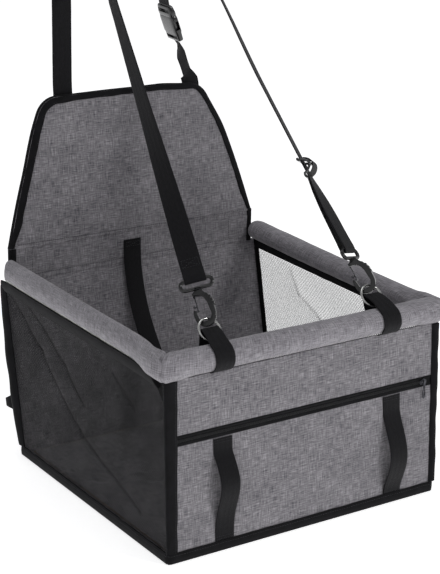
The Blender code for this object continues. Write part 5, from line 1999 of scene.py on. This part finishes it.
    def rings(self) -> None:
        """Makes the two rings and the webbing loops that hold them on the rim."""
        for side, name, body in ((-1, "left", Body.RING_LEFT), (1, "right", Body.RING_RIGHT)):
            origin, along, _, _ = self.line(side)
            across = (Vector((1, 0, 0)) - along * along.x).normalized()
            centre = origin + along * self.ring_s
            turns = circle(56)
            path = [centre + across * (self.ring_r * cos(a)) + along * (self.ring_r * sin(a)) for a in turns]
            skin = Skin()
            skin.grid(wire(path, self.ring_wire, 14, closed=True), wrap=True, loop=True)
            dress(new_object(f"steel_ring_{name}", skin.mesh("ring", 80)), NICKEL, body, [f"ring_{name}"])
            node = f"rim_loop_{name}"
            strap_piece(f"web_{node}", smoothed(self.rim_loop(side), 0.003), Body.BASKET, [node], 11 + side)

    def rim_loop(self, side: int) -> list[Station]:
        """Stations of webbing round the sleeve that rises to a fold through the ring."""
        plan = self.plan
        origin, along, _, _ = self.line(side)
        radius = plan.sleeve_r + plan.gap + plan.web_t / 2
        rise = atan2(along.z, along.y)
        x_dir = Vector((1, 0, 0))
        fold_r = 0.0011
        top = self.apex_s - fold_r
        half = pi / 2 - atan2(radius - fold_r, top)
        start, end = radians(-107), radians(-80)
        stations: list[Station] = []

        def add(angle: float, shift: Vector, r: float) -> None:
            out = Vector((0, cos(angle), sin(angle)))
            if r == radius:
                r -= 0.0011 * max(-out.z, 0.0)
            stations.append(Station(origin + shift + out * r, x_dir, out))

        tip = Vector((0, cos(rise), sin(rise))) * top
        zero = Vector((0, 0, 0))
        leave = rise + half
        for step in range(19):
            add(2 * pi + start + (leave - 2 * pi - start) * step / 18, zero, radius)
        for step in range(1, 10):
            add(leave - 2 * half * step / 10, tip, fold_r)
        rear_leave = rise - half
        for step in range(15):
            add(rear_leave + (end - rear_leave) * step / 14, zero, radius)
        apex_x = along.x * self.apex_s
        for station in stations:
            share = ((station.centre - origin).dot(along) - plan.sleeve_r) / (self.apex_s - plan.sleeve_r)
            share = max(0.0, share)
            station.centre = station.centre + x_dir * (apex_x * share)
            station.width *= 1 - self.pinch * share
        return stations

    def hooks(self) -> None:
        """Makes the two snap hooks of the strap."""
        bodies = {"left": (Body.HOOK_LEFT, Body.GATE_LEFT), "right": (Body.HOOK_RIGHT, Body.GATE_RIGHT)}
        for side, label in ((-1, "left"), (1, "right")):
            origin, along, _, rear = self.line(side)
            across = (Vector((1, 0, 0)) - along * along.x).normalized()
            turn = radians(-45)
            flat = across * cos(turn) + rear * sin(turn)
            hook = SnapHook(self.plan, self.repeat, label, origin, along, flat, self.across(side, self.eye_s))
            hook.build(*bodies[label], Body.FRONT_STRAP)


def wire(path: Sequence[Vector], radius: float, sides: int, closed: bool = False) -> list[list[Vector]]:
    """Rings of a round bar along a path.

    Args:
        path: Points along its middle.
        radius: Its radius.
        sides: Points round it.
        closed: Joins its ends.

    Returns:
        One ring for each point.
    """
    rings = []
    side: Optional[Vector] = None
    count = len(path)
    for i, point in enumerate(path):
        before = path[i - 1] if closed or i else path[0]
        after = path[(i + 1) % count] if closed or i < count - 1 else path[-1]
        along = (after - before).normalized()
        if side is None:
            guide = Vector((0, 0, 1)) if abs(along.z) < 0.9 else Vector((1, 0, 0))
            side = along.cross(guide).normalized()
        side = (side - along * side.dot(along)).normalized()
        other = along.cross(side)
        turns = [2 * pi * k / sides for k in range(sides)]
        rings.append([point + side * (radius * cos(a)) + other * (radius * sin(a)) for a in turns])
    return rings


@dataclass
class SnapHook(Assembly):
    """A swivel snap hook: a flat-sided moulded body, a sprung gate and an oval eye for the webbing."""

    label: str
    origin: Vector
    along: Vector
    flat: Vector
    eye_across: Vector
    half: float = 0.0025
    bowl_r: float = 0.0076
    bowl_s: float = 0.0503
    top_s: float = 0.0795
    eye_s: float = 0.0880
    eye_half_w: float = 0.0183
    eye_half_h: float = 0.0053
    eye_wire: float = 0.0022

    def place(self, u: float, s: float, n: float) -> Vector:
        """A place in the hook's own plane: across, along the strap, and out of its side."""
        face = self.flat.cross(self.along)
        return self.origin + self.flat * u + self.along * s + face * n

    def outline(self) -> list[tuple[float, float]]:
        """Outline of the body in its own plane."""
        bowl, top = self.bowl_s, self.top_s
        points = []
        for step in range(17):
            turn = pi + pi * step / 16
            points.append((0.0126 * cos(turn) + 0.0004, bowl + 0.0139 * sin(turn)))
        points += [(0.0130, 0.0610), (0.0122, 0.0662), (0.0108, 0.0700), (0.0092, 0.0726), (0.0074, 0.0745)]
        points += [(0.0060, 0.0763), (0.0051, 0.0781), (0.0044, top)]
        points += [(-0.0044, top), (-0.0054, 0.0786), (-0.0078, 0.0776)]
        points += [(-0.0076, 0.0752), (-0.0030, 0.0742), (0.0012, 0.0726), (0.0042, 0.0692), (0.0064, 0.0630)]
        for step in range(17):
            turn = -pi * step / 16
            points.append((self.bowl_r * cos(turn), bowl + self.bowl_r * sin(turn)))
        points += [
            (-0.0079, 0.0524), (-0.0082, 0.0548), (-0.0087, 0.0574), (-0.0098, 0.0588), (-0.0113, 0.0580)
        ]
        points += [(-0.0121, 0.0556), (-0.0123, 0.0530)]
        return points

    def slabs(self, outline: Sequence[tuple[float, float]], half: float, nip: float) -> list[list[Vector]]:
        """Rings of a flat-sided solid with rounded edges."""
        count = len(outline)
        normals = []
        for i in range(count):
            before, after = Vector(outline[i - 1]), Vector(outline[(i + 1) % count])
            way = (after - before).normalized()
            normals.append(Vector((-way.y, way.x)))
        rings = []
        for side in (-1, 1):
            steps = range(5) if side < 0 else range(4, -1, -1)
            for step in steps:
                turn = pi / 2 * step / 4
                level = side * (half - nip + nip * cos(turn))
                draw = nip * (1 - sin(turn))
                rings.append(
                    [
                        self.place(
                            u + normal.x * draw,
                            s + normal.y * draw,
                            level * (1 + 0.52 * ease(0.054, 0.063, s)),
                        )
                        for (u, s), normal in zip(outline, normals)
                    ]
                )
        return rings

    def build(self, body: Body, gate_body: Body, eye_body: Optional[Body]) -> None:
        """Makes the body, the gate and the eye.

        Args:
            body: The body that the hook rides on.
            gate_body: The body of its gate.
            eye_body: The body of its eye where that swivels, or None where the two are one piece.
        """
        skin = Skin()
        skin.tube(self.slabs(self.outline(), self.half, 0.0009))
        for u, s, r in (
            (0.0129, 0.0596, 0.0015),
            (0.0123, 0.0638, 0.0017),
            (0.0108, 0.0680, 0.0018),
            (0.0082, 0.0716, 0.0016),
        ):
            skin.tube(wire([self.place(u, s, -0.0038), self.place(u, s, 0.0038)], r, 10))
        collar = [self.place(0, s, 0) for s in (self.top_s - 0.0030, self.top_s - 0.0008, self.top_s)]
        rings = []
        for point, radius in zip(collar, (0.0034, 0.0041, 0.0038)):
            turns = circle(20)
            face = self.flat.cross(self.along)
            rings.append([point + self.flat * (radius * cos(a)) + face * (radius * sin(a)) for a in turns])
        skin.tube(rings)
        if eye_body is None:
            self.eye(skin, self.top_s - 0.002)
        name = f"hook_shell_{self.label}"
        dress(new_object(name, skin.mesh(name, 40)), ACETAL, body, [f"hook_body_{self.label}"])
        if eye_body is not None:
            loop = Skin()
            self.eye(loop, self.top_s + self.plan.gap)
            name = f"hook_loop_{self.label}"
            dress(new_object(name, loop.mesh(name, 60)), ACETAL, eye_body, [f"hook_eye_{self.label}"])
        self.gate(gate_body)

    def eye(self, skin: Skin, low_s: float) -> None:
        """Adds the oval eye and its stem."""
        centre = self.place(0, self.eye_s, 0)
        path = []
        for end in (1, -1):
            for step in range(17):
                turn = pi * step / 16 - pi / 2
                u = end * (self.eye_half_w - self.eye_half_h + self.eye_half_h * cos(turn))
                path.append(centre + self.eye_across * u + self.along * (end * self.eye_half_h * sin(turn)))
        skin.grid(wire(path, self.eye_wire, 12, closed=True), wrap=True, loop=True)
        side = self.eye_across.cross(self.along)
        high = self.eye_s - self.eye_half_h
        rings = []
        for share, radius in (
            (0.0, 0.0036),
            (0.1, 0.0047),
            (0.3, 0.0047),
            (0.4, 0.0036),
            (0.6, 0.0036),
            (0.75, 0.0048),
            (1.0, 0.0044),
        ):
            point = self.place(0, low_s + (high - low_s) * share, 0)
            turns = circle(18)
            rings.append(
                [point + self.eye_across * (radius * cos(a)) + side * (radius * sin(a)) for a in turns]
            )
        skin.tube(rings)

    def gate(self, body: Body) -> None:
        """Makes the gate: two thin wires side by side, and the thumb knob between them."""
        skin = Skin()
        shape = [
            (-0.0064, 0.0740), (-0.0063, 0.0690), (-0.0064, 0.0630), (-0.0067, 0.0574), (-0.0075, 0.0562)
        ]
        for level in (-0.0008, 0.0008):
            skin.tube(wire([self.place(u, s, level) for u, s in shape], 0.0005, 10))
        foot = [(-0.0082, 0.0562), (-0.0066, 0.0561), (-0.0052, 0.0562), (-0.0052, 0.0580), (-0.0082, 0.0580)]
        skin.tube(self.slabs(foot, 0.0013, 0.0003))
        head = [(-0.0074, 0.0744), (-0.0077, 0.0728), (-0.0053, 0.0728), (-0.0053, 0.0740)]
        skin.tube(self.slabs(head, 0.0013, 0.0003))
        knob = []
        for share, radius in ((0.0, 0.0009), (0.45, 0.0010), (0.55, 0.0016), (0.85, 0.0017), (1.0, 0.0012)):
            point = self.place(-0.0060 - 0.0047 * share, 0.0624, 0)
            face = self.flat.cross(self.along)
            turns = circle(16)
            knob.append(
                [point + self.along * (radius * cos(a)) + face * (radius * 0.75 * sin(a)) for a in turns]
            )
        skin.tube(knob)
        name = f"gate_wire_{self.label}"
        dress(new_object(name, skin.mesh(name, 50)), BLACK_NICKEL, body, [f"hook_gate_{self.label}"])


@dataclass
class BackStrap(Assembly):
    """The strap behind the flap: a left strand, a right strand, a side-release buckle and a headrest loop."""

    flap: Flap
    y: float = 0.2152
    left_x: float = -0.088
    right_x: float = 0.0965
    sewn: float = 0.148
    lean: float = radians(21)
    turn: float = radians(88)
    start: float = 0.056
    width: float = 0.0320
    thickness: float = 0.0105
    socket: float = 0.034
    plug: float = 0.0135
    loop_turn_z: float = 0.610
    lean_in: float = 0.017
    split_z: float = 0.500
    gathered: float = 0.26
    left_width: float = 0.0266
    strand_turn: tuple[tuple[float, float], ...] = (
        (0.14, 30), (0.35, 26), (0.60, 28), (0.80, 48), (0.95, 78)
    )

    def axes(self) -> tuple[Vector, Vector, Vector, Vector]:
        """Origin at the flap's top on the right strand, and the buckle's along, width and out directions."""
        start = Vector((self.right_x, self.y, self.flap.fold_z + self.flap.height))
        along = Vector((-sin(self.lean), 0, cos(self.lean)))
        width = Vector((cos(self.turn), sin(self.turn), 0))
        width = (width - along * width.dot(along)).normalized()
        return start, along, width, width.cross(along)

    def build(self) -> None:
        """Makes the two lengths of webbing, their stitches and the buckle."""
        x_dir, y_dir = Vector((1, 0, 0)), Vector((0, 1, 0))
        plan, flap = self.plan, self.flap
        rear_f = 0.0002 - 2 * plan.gap - flap.bind_t - plan.web_t / 2
        sewn = {
            x: [flap.point(x, v, rear_f) for v in (self.sewn, flap.height + 0.002)]
            for x in (self.left_x, self.right_x)
        }
        left = face_out(
            sewn[self.left_x] + [
                Vector((self.left_x, self.y, z)) for z in (0.455, 0.478, self.split_z - 0.012)
            ],
            x_dir,
        )
        piece = self.loop_piece(left)
        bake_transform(piece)
        start, along, _, _ = self.axes()
        right = face_out(sewn[self.right_x], x_dir)
        for share, degrees in self.strand_turn:
            turn = radians(degrees)
            across = (x_dir * cos(turn) + y_dir * sin(turn)).normalized()
            across = (across - along * across.dot(along)).normalized()
            right.append(Station(start + along * (self.start * share), across, across.cross(along)))
        for station, share in zip(right[1:], (0.0, 0.6, 1.0, 0.6, 0.2, 0.0)):
            station.width *= 1 - self.gathered * share
        strap_piece("web_back_strap_right", smoothed(right, 0.0035), Body.FLAP, ["back_strap_right"], 15)
        self.stitches(rear_f)
        self.buckle()

    def loop_piece(self, left: list[Station]) -> bpy.types.Object:
        """Makes the one webbing length from the flap's left over the headrest loop to the buckle's plug."""
        x_dir, y_dir = Vector((1, 0, 0)), Vector((0, 1, 0))
        start, along, width, _ = self.axes()
        base = start + along * self.start
        plug_top = base + along * (self.socket + self.plug + 5 * self.plan.gap)
        right_x = plug_top.x - self.lean_in
        raw: list[tuple[Vector, Vector]] = []
        for share in (0.0, 0.25, 0.5, 0.75, 1.0):
            point = plug_top.lerp(Vector((right_x, self.y, self.loop_turn_z)), share)
            raw.append((point, (width * (1 - share) + y_dir * share).normalized()))
        radius = (right_x - self.left_x) / 2
        centre = Vector((right_x - radius, self.y, self.loop_turn_z))
        for step in range(1, 24):
            turn = pi * step / 24
            raw.append((centre + Vector((radius * cos(turn), 0, radius * sin(turn))), y_dir))
        for z, turn in (
            (self.loop_turn_z, 0), (0.595, 30), (0.580, 60), (0.565, 90), (0.532, 90), (0.510, 90)
        ):
            across = y_dir * cos(radians(turn)) - x_dir * sin(radians(turn))
            raw.append((Vector((self.left_x, self.y, z)), across))
        full = []
        for i, (point, across) in enumerate(raw):
            before, after = raw[max(i - 1, 0)][0], raw[min(i + 1, len(raw) - 1)][0]
            travel = (after - before).normalized()
            across = (across - travel * across.dot(travel)).normalized()
            full.append(
                Station(point, across, across.cross(travel), self.left_width if i > len(raw) - 4 else 0.025)
            )
        for station in reversed(left):
            full.append(Station(station.centre, -station.across, station.out, self.left_width))
        return strap_piece(
            "web_back_strap", smoothed(full, 0.0035), None, ["back_strap_left", "back_strap_loop"], 14
        )

    def stitches(self, rear_f: float) -> None:
        """Lays the sewn boxes that hold both strands on the flap."""
        low, high = self.sewn + 0.0025, self.flap.height - 0.0035
        paths = []
        for x in (self.left_x, self.right_x):
            corners = [(x - 0.0095, low), (x + 0.0095, low), (x + 0.0095, high), (x - 0.0095, high)]
            level = rear_f - self.plan.web_t / 2 - 0.0001
            paths.append([self.flap.point(*corners[k], level) for k in (0, 1, 2, 3, 0, 2, 1, 3)])
        self.repeat.lay("stitches_back_strap", paths, BLACK_THREAD, Body.FLAP, SEAM_PITCH, FINE_STITCH)

    def block(
        self, rings: Sequence[tuple[float, float, float]], shift: float = 0.0, out_shift: float = 0.0
    ) -> list:
        """Rings of a rounded block, from triples of distance along, half width and half thickness."""
        start, along, width, out = self.axes()
        base = start + along * self.start
        result = []
        for z, half_w, half_t in rings:
            ring = []
            for k in range(32):
                a = 2 * pi * k / 32
                u = squared(cos(a), 0.38)
                n = squared(sin(a), 0.38)
                ring.append(base + along * z + width * (shift + half_w * u) + out * (out_shift + half_t * n))
            result.append(ring)
        return result

    def carved(
        self, name: str, body_rings: Sequence, cuts: Sequence[Sequence], extra: Sequence[Sequence]
    ) -> bpy.types.Mesh:
        """Cuts some blocks out of one block, and adds others to it."""
        skin = Skin()
        skin.tube(body_rings)
        obj = new_object(name, skin.mesh(name))
        tools = []
        for kind, shapes in (("DIFFERENCE", cuts), ("UNION", extra)):
            for number, rings in enumerate(shapes):
                tool_skin = Skin()
                tool_skin.tube(rings)
                tool = new_object(f"{name}_{kind}_{number}", tool_skin.mesh("tool"))
                modifier = obj.modifiers.new(tool.name, "BOOLEAN")
                modifier.operation, modifier.solver, modifier.object = kind, "EXACT", tool
                tools.append(tool)
        settle(obj)
        for tool in tools:
            bpy.data.objects.remove(tool, do_unlink=True)
        mesh = obj.data
        bpy.data.objects.remove(obj, do_unlink=True)
        mesh.shade_smooth()
        mesh.set_sharp_from_angle(angle=radians(38))
        return mesh

    def buckle(self) -> None:
        """Makes the socket with its side windows and slot, and the plug with its two sprung arms."""
        w, t = self.width / 2, self.thickness / 2
        socket = (
            (0.0, w * 0.90, t * 0.62),
            (0.0010, w * 0.94, t * 0.78),
            (0.0100, w * 0.96, t * 0.86),
            (0.0130, w, t),
            (0.0300, w, t),
            (self.socket - 0.0008, w * 0.97, t * 0.94),
            (self.socket, w * 0.94, t * 0.88),
        )
        cavity = ((0.0112, 0.0128, 0.0032), (self.socket + 0.002, 0.0130, 0.0034))
        window = ((0.0152, 0.0060, 0.0030), (0.0268, 0.0060, 0.0030))
        slot = ((0.0034, 0.0132, t + 0.002), (0.0078, 0.0132, t + 0.002))
        cuts = [self.block(cavity), self.block(slot)]
        cuts += [self.block(window, shift) for shift in (-w - 0.0010, w + 0.0010)]
        mesh = self.carved("buckle_socket_shell", self.block(socket), cuts, [])
        dress(new_object("buckle_socket_shell", mesh), ACETAL, Body.FLAP, ["buckle_socket"])
        low = self.socket + self.plan.gap
        plug = (
            (low, w * 0.94, t * 0.88),
            (low + 0.0008, w * 0.97, t * 0.94),
            (low + 0.0050, w, t * 0.92),
            (low + self.plug - 0.0012, w * 0.94, t * 0.70),
            (low + self.plug, w * 0.90, t * 0.55),
        )
        plug_slot = ((low + 0.0054, 0.0132, t + 0.002), (low + 0.0100, 0.0132, t + 0.002))
        arms = []
        for sign in (-1, 1):
            arm = (
                (0.0138, 0.0012, 0.0022),
                (0.0160, 0.0021, 0.0026),
                (0.0225, 0.0019, 0.0026),
                (low + 0.002, 0.0016, 0.0027),
            )
            arms.append(self.block(arm, sign * 0.0106))
        arms.append(self.block(((0.0138, 0.0014, 0.0022), (low + 0.002, 0.0020, 0.0027))))
        mesh = self.carved("buckle_plug_shell", self.block(plug), [self.block(plug_slot)], arms)
        dress(new_object("buckle_plug_shell", mesh), ACETAL, Body.BACK_LOOP, ["buckle_plug"])


@dataclass
class BeltLoops(Assembly):
    """Webbing loops on the front for a seat belt, and folded tabs at the rear corners."""

    loops: tuple[tuple[str, float, float, float], ...] = (
        ("left", -0.1125, 0.88, 0.58),
        ("right", 0.1255, 0.85, 0.42),
    )
    low: float = 0.0138
    high: float = 0.1358
    bow: float = 0.0150
    lean: dict[str, float] = field(default_factory=lambda: {"left": 0.0026, "right": 0.0042})

    def build(self) -> None:
        """Makes the loops, the tabs and the stitches on them."""
        plan = self.plan
        clear = plan.gap + plan.web_t / 2
        seams = []
        for name, x, sewn_from, deepest in self.loops:
            skew = log(0.5) / log(deepest / sewn_from)
            points = []
            for step in range(49):
                share = step / 48
                z = self.low + (self.high - self.low) * share
                part = min(share / sewn_from, 1.0) ** skew
                bow = self.bow * max(sin(pi * part), 0.0) ** 1.5
                points.append(Vector((self.centre(name, x, z), plan.front_y(z) - clear - bow, z)))
            strap_piece(
                f"web_belt_loop_{name}",
                face_out(points, Vector((1, 0, 0))),
                Body.BASKET,
                [f"belt_loop_{name}"],
                17,
            )
            for z0, z1 in ((self.low + 0.0016, self.low + 0.0046), (self.high - 0.0050, self.high - 0.0020)):
                for z in (z0, z1):
                    y = plan.front_y(z) - clear - plan.web_t / 2 - 0.0001
                    middle = self.centre(name, x, z)
                    seams.append([Vector((middle + dx, y, z)) for dx in (-0.0105, 0.0105)])
        self.repeat.lay("stitches_belt_loops", seams, BLACK_THREAD, Body.BASKET, 0.0028, FINE_STITCH)
        for name, side in (("left", -1), ("right", 1)):
            self.tab(name, side)

    def centre(self, name: str, x: float, z: float) -> float:
        """Where a loop's middle line lies at a height, with its lean to the left."""
        share = (z - self.low) / (self.high - self.low)
        return x - self.lean[name] * (0.35 + 0.65 * share)

    def tab(self, name: str, side: int) -> None:
        """Makes one short folded tab that points back from a rear corner."""
        plan = self.plan
        z = 0.064
        up = Vector((0, plan.back_y(z + 1) - plan.back_y(z), 1)).normalized()
        start = Vector((side * 0.1790, plan.back_y(z) + 3 * plan.gap + plan.bind_t + plan.web_t, z))
        out = Vector((side * 0.52, 0.854, 0))
        out = (out - up * out.dot(up)).normalized()
        side_dir = up.cross(out)
        path = [(0.000, 0.0040), (0.009, 0.0030), (0.0185, 0.0018), (0.0220, 0.0)]
        path += [(a, -b) for a, b in path[2::-1]]
        points = [start + out * a + side_dir * b for a, b in path]
        stations = face_out(points, up, width=0.0250)
        for station, (reach, _) in zip(stations, path):
            station.width *= 1 - 0.62 * (reach / 0.0220) ** 1.3
        stations = smoothed(stations, 0.0015)
        strap_piece(f"web_rear_tab_{name}", stations, Body.BASKET, [f"rear_tab_{name}"], 19)


@dataclass
class Lead(Assembly):
    """The safety lead: webbing sewn inside the back wall, with a snap hook that lies on the floor."""

    x: float = -0.004
    route: tuple[tuple[float, float], ...] = (
        (0.1859, 0.2433),
        (0.1858, 0.2300),
        (0.1842, 0.2120),
        (0.1780, 0.1850),
        (0.1658, 0.1550),
        (0.1490, 0.1280),
        (0.1310, 0.1060),
        (0.1130, 0.0840),
        (0.0960, 0.0640),
        (0.0780, 0.0450),
        (0.0590, 0.0290),
        (0.0400, 0.0180),
        (0.0210, 0.0126),
        (0.0050, 0.0112),
    )
    bar: tuple[float, float] = (-0.0090, 0.0106)
    returned: int = 4
    slope: float = radians(1)

    def build(self) -> None:
        """Makes the webbing, its stitches and its hook."""
        plan = self.plan
        x_dir = Vector((1, 0, 0))
        points = [Vector((self.x, y, z)) for y, z in self.route]
        bar = Vector((self.x, *self.bar))
        along = Vector((0, cos(self.slope), sin(self.slope)))
        stations = face_out(points, x_dir, plan.ply_lift)
        stations += half_turn(bar, x_dir, -along, plan.fold_radius)
        stations += face_out(points[: -self.returned - 1 : -1], x_dir, plan.ply_lift)
        strap_piece("web_lead", smoothed(stations, 0.0035), Body.LEAD, ["lead_strap"], 21)
        box = [(-0.0095, 0.2410), (0.0095, 0.2410), (0.0095, 0.2350), (-0.0095, 0.2350)]
        path = []
        for k in (0, 1, 2, 3, 0, 2, 1, 3):
            u, z = box[k]
            path.append(Vector((self.x + u, self.route[0][0] - plan.ply_lift - plan.web_t / 2 - 0.0001, z)))
        self.repeat.lay("stitches_lead", [path], BLACK_THREAD, Body.LEAD, SEAM_PITCH, FINE_STITCH)
        hook = SnapHook(
            plan,
            self.repeat,
            "lead",
            bar - along * (SnapHook.eye_s + SnapHook.eye_half_h),
            along,
            x_dir,
            x_dir,
        )
        hook.build(Body.LEAD, Body.GATE_LEAD, None)


@dataclass
class HiddenFrame:
    """CAD nodes that stay as imported: the pipes, their elbows and the stiff boards."""

    pipes: tuple[str, ...] = (
        "front_tube",
        "rear_tube",
        "left_tube",
        "right_tube",
        "corner_elbow_front_left",
        "corner_elbow_front_right",
    )
    boards: tuple[str, ...] = ("base_board", "flap_board")

    def build(self) -> None:
        """Gives each node the finish of what it is made of."""
        for names, finish in ((self.pipes, PIPE), (self.boards, BOARD)):
            for name in names:
                for slot in bpy.data.objects[name].material_slots:
                    slot.material = finish.material()
                LOG.info("%s: %s", name, finish.name)


@dataclass
class Studio:
    """Camera at the photograph's angle, a pale floor and soft lights."""

    position: tuple[float, float, float] = (-1.1477, -1.7353, 0.9481)
    azimuth: float = 0.58589
    elevation: float = 0.33091
    roll: float = 0.01886
    lens: float = 114.677
    shift: tuple[float, float] = (0.00501, -0.00057)

    def build(self) -> None:
        """Adds the camera, the floor, the world and the lights."""
        self.camera()
        self.floor()
        scene = bpy.context.scene
        scene.view_settings.view_transform = "Standard"
        world = bpy.data.worlds.new("white room")
        world.use_nodes = True
        scene.world = world
        background = world.node_tree.nodes["Background"]
        background.inputs["Color"].default_value = linear("F4F5F8")
        background.inputs["Strength"].default_value = 0.38
        self.light("key", (1.2, -2.2, 1.9), (0.0, 0.0, 0.2), 0.5, 19.0)
        self.light("fill", (-1.9, -1.5, 1.5), (0.0, 0.0, 0.25), 1.8, 2.6)
        self.light("top", (0.0, 0.3, 2.6), (0.0, 0.0, 0.2), 1.4, 8.0)

    def camera(self) -> None:
        """Adds the camera."""
        fwd = Vector(
            (
                sin(self.azimuth) * cos(self.elevation),
                cos(self.azimuth) * cos(self.elevation),
                -sin(self.elevation),
            )
        )
        right = Vector((cos(self.azimuth), -sin(self.azimuth), 0))
        up = right.cross(fwd)
        x_axis = right * cos(self.roll) + up * sin(self.roll)
        y_axis = up * cos(self.roll) - right * sin(self.roll)
        data = bpy.data.cameras.new("photo camera")
        data.lens = self.lens
        data.sensor_width = 36.0
        data.sensor_fit = "AUTO"
        data.shift_x, data.shift_y = self.shift
        camera = bpy.data.objects.new("photo camera", data)
        turned = Matrix((x_axis, y_axis, -fwd)).transposed().to_4x4()
        camera.matrix_world = Matrix.Translation(self.position) @ turned
        bpy.context.scene.collection.objects.link(camera)
        bpy.context.scene.camera = camera

    def floor(self) -> None:
        """Adds the pale floor, which isn't part of the object."""
        half = 12.0
        mesh = bpy.data.meshes.new("floor")
        corners = [(-half, -half, 0.0), (half, -half, 0.0), (half, half, 0.0), (-half, half, 0.0)]
        mesh.from_pydata([(x, y, z - 0.0002) for x, y, z in corners], [], [(0, 1, 2, 3)])
        floor = new_object("studio_floor", mesh)
        material = bpy.data.materials.new("matt white paper")
        material.use_nodes = True
        shader = material.node_tree.nodes["Principled BSDF"]
        shader.inputs["Base Color"].default_value = linear("F7F7F7")
        shader.inputs["Emission Color"].default_value = linear("FFFFFF")
        shader.inputs["Emission Strength"].default_value = 0.70
        shader.inputs["Roughness"].default_value = 0.9
        shader.inputs["Specular IOR Level"].default_value = 0.1
        mesh.materials.append(material)

    def light(
        self,
        name: str,
        place: tuple[float, float, float],
        target: tuple[float, float, float],
        size: float,
        power: float,
    ) -> None:
        """Adds one square soft light that points at a target."""
        data = bpy.data.lights.new(name, "AREA")
        data.size = size
        data.energy = power
        lamp = bpy.data.objects.new(name, data)
        lamp.location = place
        way = Vector(target) - Vector(place)
        lamp.rotation_euler = way.to_track_quat("-Z", "Y").to_euler()
        bpy.context.scene.collection.objects.link(lamp)


def main() -> None:
    """Builds the sub-assemblies in order."""
    logging.basicConfig(level=logging.INFO, format="%(message)s")
    plan, repeat = Plan(), Repeat()
    Studio().build()
    HiddenFrame().build()
    Rim(plan, repeat).build()
    Box(plan, repeat).build()
    NetSides(plan, repeat).build()
    Bindings(plan, repeat).build()
    Zip(plan, repeat).build()
    flap = Flap(plan, repeat)
    flap.build()
    FrontStrap(plan, repeat).build()
    BackStrap(plan, repeat, flap).build()
    BeltLoops(plan, repeat).build()
    Lead(plan, repeat).build()


if __name__ == "__main__":
    main()
